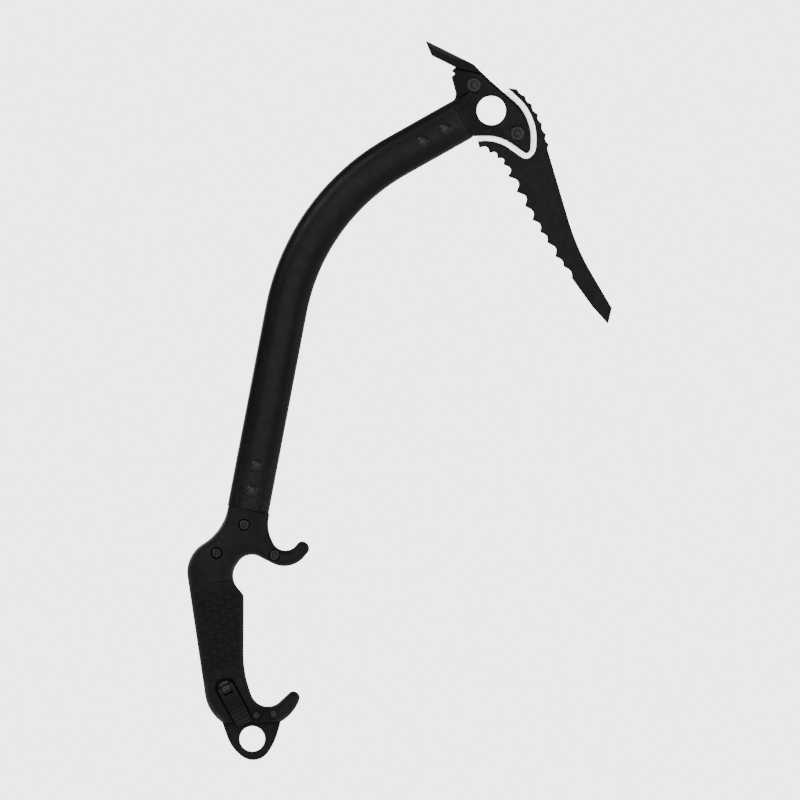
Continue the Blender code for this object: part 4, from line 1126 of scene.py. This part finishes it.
def make_grip():
    """Rubber sleeve moulded on the core."""
    outline = clipped(whole_handle(), handle_point(handle_drop(SLEEVE_TOP)), Vector(HANDLE_DOWN))
    outline = clipped(outline, handle_point(-GAP), -Vector(HANDLE_DOWN))
    mesh = carved(handle_solid(outline, crown, mirrored(crown)), solid_copy("handle_core"))
    cast("grip_rubber", mesh, RUBBER, "tool", "grip", "grip_sleeve", shape=grip_shape)


def lever_place(along, aside):
    """Side-view place given along the lever and across it, from the clamp's bolt."""
    forward = Vector(LEVER_AHEAD)
    return handle_point(CLAMP_DROP) + forward * along + Vector((-forward.y, forward.x)) * aside


def make_rest():
    """Hand rest with the slide's pocket, the tongue's slot and the lands of its clamp."""
    outline = clipped(whole_handle(), handle_point(0), Vector(HANDLE_DOWN))
    mesh = handle_solid(outline, crown, mirrored(crown))
    side = BAR_HALF_DEPTH + GAP
    floor = BAR_DROP + GAP
    corners = ((-5, -side), (floor, -side), (floor, side), (-5, side))
    pocket = [handle_point(*spot) for spot in corners]
    half = BAR_HALF_WIDTH + GAP
    slot = EYELET_HALF + GAP / 2
    wide = LEVER_HALF_WIDTH + 1.0
    far = LEVER_LENGTH + LAND_REACH
    corners = ((-8.5, -wide, LAND_ROUND), (far, -wide, 0), (far, wide, 0), (-8.5, wide, LAND_ROUND))
    land = rounded([(*lever_place(along, aside), radius) for along, aside, radius in corners])
    clamp = handle_point(CLAMP_DROP)
    mesh = carved(
        mesh, plate(pocket, -half, half), plate(grown(rounded(EYELET_OUTLINE), GAP), -slot, slot),
        plate(land, -THROUGH, -LAND_DEPTH), drill(clamp, NUT_LAND_RADIUS, NUT_LAND_DEPTH, THROUGH),
        drill(clamp, BOLT_SHANK + SIDE_PLAY))
    for spot in EYELET_RIVETS:
        mesh = carved(
            mesh, drill(spot, EYELET_HOLE), drill(spot, RIVET_RECESS, RIVET_RECESS_DEPTH, THROUGH),
            drill(spot, RIVET_RECESS, -THROUGH, -RIVET_RECESS_DEPTH))
    cast("hand_rest", mesh, NYLON, "rest", "rest", "lower_rest")


def make_eyelet():
    holes = [circle(EYELET_CENTRE, EYELET_RADIUS)]
    holes += [circle(spot, EYELET_HOLE) for spot in EYELET_RIVETS]
    mesh = plate(rounded(EYELET_OUTLINE), -EYELET_HALF, EYELET_HALF, holes)
    cast("eyelet_plate", mesh, BLADE, "rest", "eyelet", "foot_eyelet")


def neck_half(points):
    """Half thickness of the head: the tube's oval at the mouth, easing into flat cheeks.

    Under the neck it grows faster, so that the cheeks keep metal beside the slot."""
    offset = points - np.array(MOUTH)
    along = offset @ np.array(UPPER_WAY)
    square = np.array((-UPPER_WAY.y, UPPER_WAY.x))
    rise = offset @ square
    across = np.minimum(1, np.abs(rise) / (TUBE_DEPTH / 2))
    tube = TUBE_WIDTH / 2 * (1 - across ** OVALNESS) ** (1 / OVALNESS)
    ease = smoothstep(0, NECK_LENGTH, along)
    chin = np.where(rise < 0, CHIN_HALF * smoothstep(0, CHIN_LENGTH, along), 0)
    return np.maximum(tube * (1 - ease) + CHEEK_HALF * ease, chin)


def bolt_hole(place):
    return circle(place, BOLT_SHANK + HOLE_PLAY)


def make_head():
    """Forged head: cheeks, tongue and neck, with the slot for the pick and the stub in the tube."""
    square = Vector((-UPPER_WAY.y, UPPER_WAY.x)) * (TUBE_DEPTH / 2)
    start = MOUTH + UPPER_WAY * GAP
    ends = [(*(start + square), 0), *HEAD_BACK_AND_TOP, *HEAD_FRONT, (*(start - square), 0)]
    outline = spaced(rounded(ends), EDGE_STEP)
    holes = [circle(Vector((0, 0)), EYE_RADIUS), bolt_hole(BOLT_FRONT), bolt_hole(BOLT_REAR)]

    def cheek(points):
        edge = distance([outline], points)
        away_from_mouth = smoothstep(0, 2, (points - np.array(start)) @ np.array(UPPER_WAY))
        bevel = np.maximum(0, HEAD_BEVEL - edge) * away_from_mouth
        eye_bevel = np.maximum(0, EYE_CHAMFER - distance([holes[0]], points))
        return np.maximum(HEAD_EDGE_HALF, neck_half(points) - bevel - eye_bevel)

    mesh = relief(outline, cheek, mirrored(cheek), holes, HEAD_GRID, HEAD_EDGE_DEPTHS)
    depth = TUBE_DEPTH / 2 - TUBE_WALL - GAP
    width = TUBE_WIDTH / 2 - TUBE_WALL - GAP
    rings = []
    for along, shrink in ((4.0, 0), (2 - STUB_LENGTH, 0), (-STUB_LENGTH, 1.5)):
        centre = start + UPPER_WAY * along
        rings.append(oval(centre, UPPER_WAY, depth - shrink, width - shrink))
    mesh = combined(mesh, "UNION", [lofted(rings)])
    mesh = carved(mesh, plate(rounded(SLOT_OUTLINE), -SLOT_HALF, SLOT_HALF))
    cast("head_forging", mesh, FORGED, "tool", "head", "head_body")


def blade_half(points):
    """Half thickness of the blade, thinning towards its point."""
    share = np.clip((BLADE_ROOT - points[:, 1]) / BLADE_TAPER, 0, 1)
    return BLADE_HALF + (BLADE_TIP_HALF - BLADE_HALF) * share


def make_pick():
    """Pick in its two finishes: the coated blade, and the ground tang that it stands proud of."""
    lower = toothed(LOWER_TEETH, LOWER_NOTCH_PLACE)
    upper = toothed(UPPER_TEETH, UPPER_NOTCH_PLACE)
    outline = rounded([(*BLADE_HEEL, 0)] + lower + BLADE_POINT + upper + SEAT_EDGE)
    outline = spaced(outline, EDGE_STEP)

    def face(points):
        return blade_half(points) - np.maximum(0, BLADE_CHAMFER - distance([outline], points))

    blade = relief(outline, face, mirrored(face))
    cast("pick_blade", blade, BLADE, "tool", "pick", "pick")
    holes = [circle(Vector((0, 0)), EYE_RADIUS), bolt_hole(BOLT_FRONT)]
    tang = plate(rounded(TANG_OUTLINE), -TANG_HALF, TANG_HALF, holes)
    cast("pick_tang", tang, GROUND, "tool", "pick", "pick")


def make_adze():
    """Dished blade from its foot on the head to its ground edge, with the tang in the head's slot."""
    along = (ADZE_TIP - ADZE_FRONT).normalized()
    down = Vector((-along.y, along.x))
    length = (ADZE_TIP - ADZE_FRONT).length
    columns = np.linspace(-1, 1, ADZE_COLUMNS)

    def section(place, half, droop, thickness):
        top = [in_space(place + down * (droop * c * c), half * c) for c in columns]
        bottom = [in_space(place + down * (droop * c * c + thickness), half * c) for c in columns]
        return top + bottom[::-1]

    rings = [section(ADZE_FOOT, CHEEK_HALF - 0.5, 0, ADZE_LIP)]
    for share in np.linspace(0, 1 - ADZE_BEVEL / length, ADZE_RINGS):
        half = ADZE_ROOT_HALF + (ADZE_EDGE_HALF - ADZE_ROOT_HALF) * (1 - (1 - share) ** 2)
        droop = ADZE_DROOP * float(smoothstep(*ADZE_DISH, share))
        grow = min(1.0, share / ADZE_ROOT_SHARE)
        depth = ADZE_FOOT_DEPTH + (ADZE_DEPTH - ADZE_FOOT_DEPTH) * grow
        rings.append(section(ADZE_FRONT.lerp(ADZE_TIP, share), half, droop, depth - droop))
    rings.append(section(ADZE_TIP - along * 0.3, ADZE_EDGE_HALF, 0.2, ADZE_LIP))
    tang = plate(rounded(ADZE_TANG_OUTLINE), -TANG_HALF, TANG_HALF, [bolt_hole(BOLT_REAR)])
    mesh = combined(lofted(rings), "UNION", [tang])
    cast("adze_blade", mesh, FORGED, "tool", "adze", "adze")


def cam_arc(turns):
    """Corners on the cam's round part, at angles from its outer side."""
    return [(math.sin(t) * CAM_RADIUS, -math.cos(t) * CAM_RADIUS, 0) for t in turns]


def lever_block(section, levels):
    """Solid with one section at each of several levels across the lever."""
    depth = pin_centre().y / MM
    rings = [[in_space(lever_place(x, aside), depth + y) for x, y in section] for aside in levels]
    return lofted(rings)


def make_lever():
    """Cam lever: round ears on the pin, and an arm with thumb ribs."""
    cam = cam_arc([math.radians(angle) for angle in range(-150, 1, 5)])
    under = cam_arc((2.36, 2.76, math.pi))
    section = spaced(rounded(cam + LEVER_ARM + under), 0.5)
    body = lever_block(section, np.linspace(-1, 1, 17) * LEVER_HALF_WIDTH)
    half = EYE_HALF + SIDE_PLAY
    fork = lever_block(((-6, -6), (4.6, -6), (4.6, 8), (-6, 8)), (-half, half))
    mesh = carved(body, pin_rod(PIN_RADIUS + GAP, 9), fork)
    cast("cam_lever", mesh, ANODISED, "lever", "lever", "lock_lever", shape=lever_shape)


def make_core():
    """Handle core, seen only where the rest has slid off it."""
    cast("handle_bar", solid_copy("handle_core"), ANODISED, "tool", "core", "handle_core")


# ---- studio

def make_floor(low):
    bpy.ops.mesh.primitive_grid_add(size=FLOOR_SIZE, x_subdivisions=4, y_subdivisions=4)
    floor = bpy.context.object
    floor.name = "floor"
    floor.location.z = low.z - FLOOR_DROP
    paper = bpy.data.materials.new("paper")
    paper.use_nodes = True
    shader = paper.node_tree.nodes["Principled BSDF"]
    fill(shader, Base_Color=PAPER_GREY, Roughness=0.9)
    fill(shader, Emission_Color=WHITE, Emission_Strength=FLOOR_GLOW)
    floor.data.materials.append(paper)


def make_light(name, place, width, height, energy, target):
    light = bpy.data.lights.new(name, "AREA")
    light.shape = "RECTANGLE"
    light.size = width
    light.size_y = height
    light.energy = energy
    lamp = bpy.data.objects.new(name, light)
    bpy.context.scene.collection.objects.link(lamp)
    lamp.location = place
    lamp.rotation_euler = (target - Vector(place)).to_track_quat("-Z", "Y").to_euler()


def make_studio(low, high):
    """Soft boxes round the object, and a pale world that is brightest to the camera."""
    centre = (low + high) / 2
    for name, box in SOFT_BOXES.items():
        make_light(name, *box, centre)
    world = bpy.data.worlds.new("studio")
    world.use_nodes = True
    tree = world.node_tree
    ambient = fill(tree.nodes["Background"], Color=WHITE, Strength=AMBIENT)
    backdrop = fill(tree.nodes.new("ShaderNodeBackground"), Color=WHITE, Strength=BACKDROP)
    seen = tree.nodes.new("ShaderNodeLightPath")
    mix = tree.nodes.new("ShaderNodeMixShader")
    tree.links.new(seen.outputs["Is Camera Ray"], mix.inputs[0])
    tree.links.new(ambient.outputs[0], mix.inputs[1])
    tree.links.new(backdrop.outputs[0], mix.inputs[2])
    fill(tree.nodes["World Output"], Surface=mix.outputs[0])
    bpy.context.scene.world = world


def make_camera():
    camera = bpy.data.objects.new("camera", bpy.data.cameras.new("camera"))
    bpy.context.scene.collection.objects.link(camera)
    camera.data.type = "ORTHO"
    camera.data.ortho_scale = VIEW_WIDTH
    camera.location = VIEW_CENTRE
    camera.rotation_euler = (math.radians(90), 0, 0)
    bpy.context.scene.camera = camera


for old in list(bpy.data.objects):
    bpy.data.objects.remove(old, do_unlink=True)

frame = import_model()
cad_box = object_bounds()

ANODISED = anodised()
FORGED = coated_steel("forged_black_steel", True)
BLADE = coated_steel("coated_blade_steel", False)
GROUND = ground_steel()
NYLON = moulded_nylon()
RUBBER = moulded_rubber()
OXIDE = black_oxide()

make_shaft()
make_head()
make_pick()
make_adze()
make_core()
make_hook_shells()
make_grip()
make_rest()
make_eyelet()
make_lever()
make_pick_fasteners()
make_tube_rivets()
make_shell_screws()
make_eyelet_rivets()
make_clamp()
make_floor(cad_box[0])
make_studio(*cad_box)
make_camera()
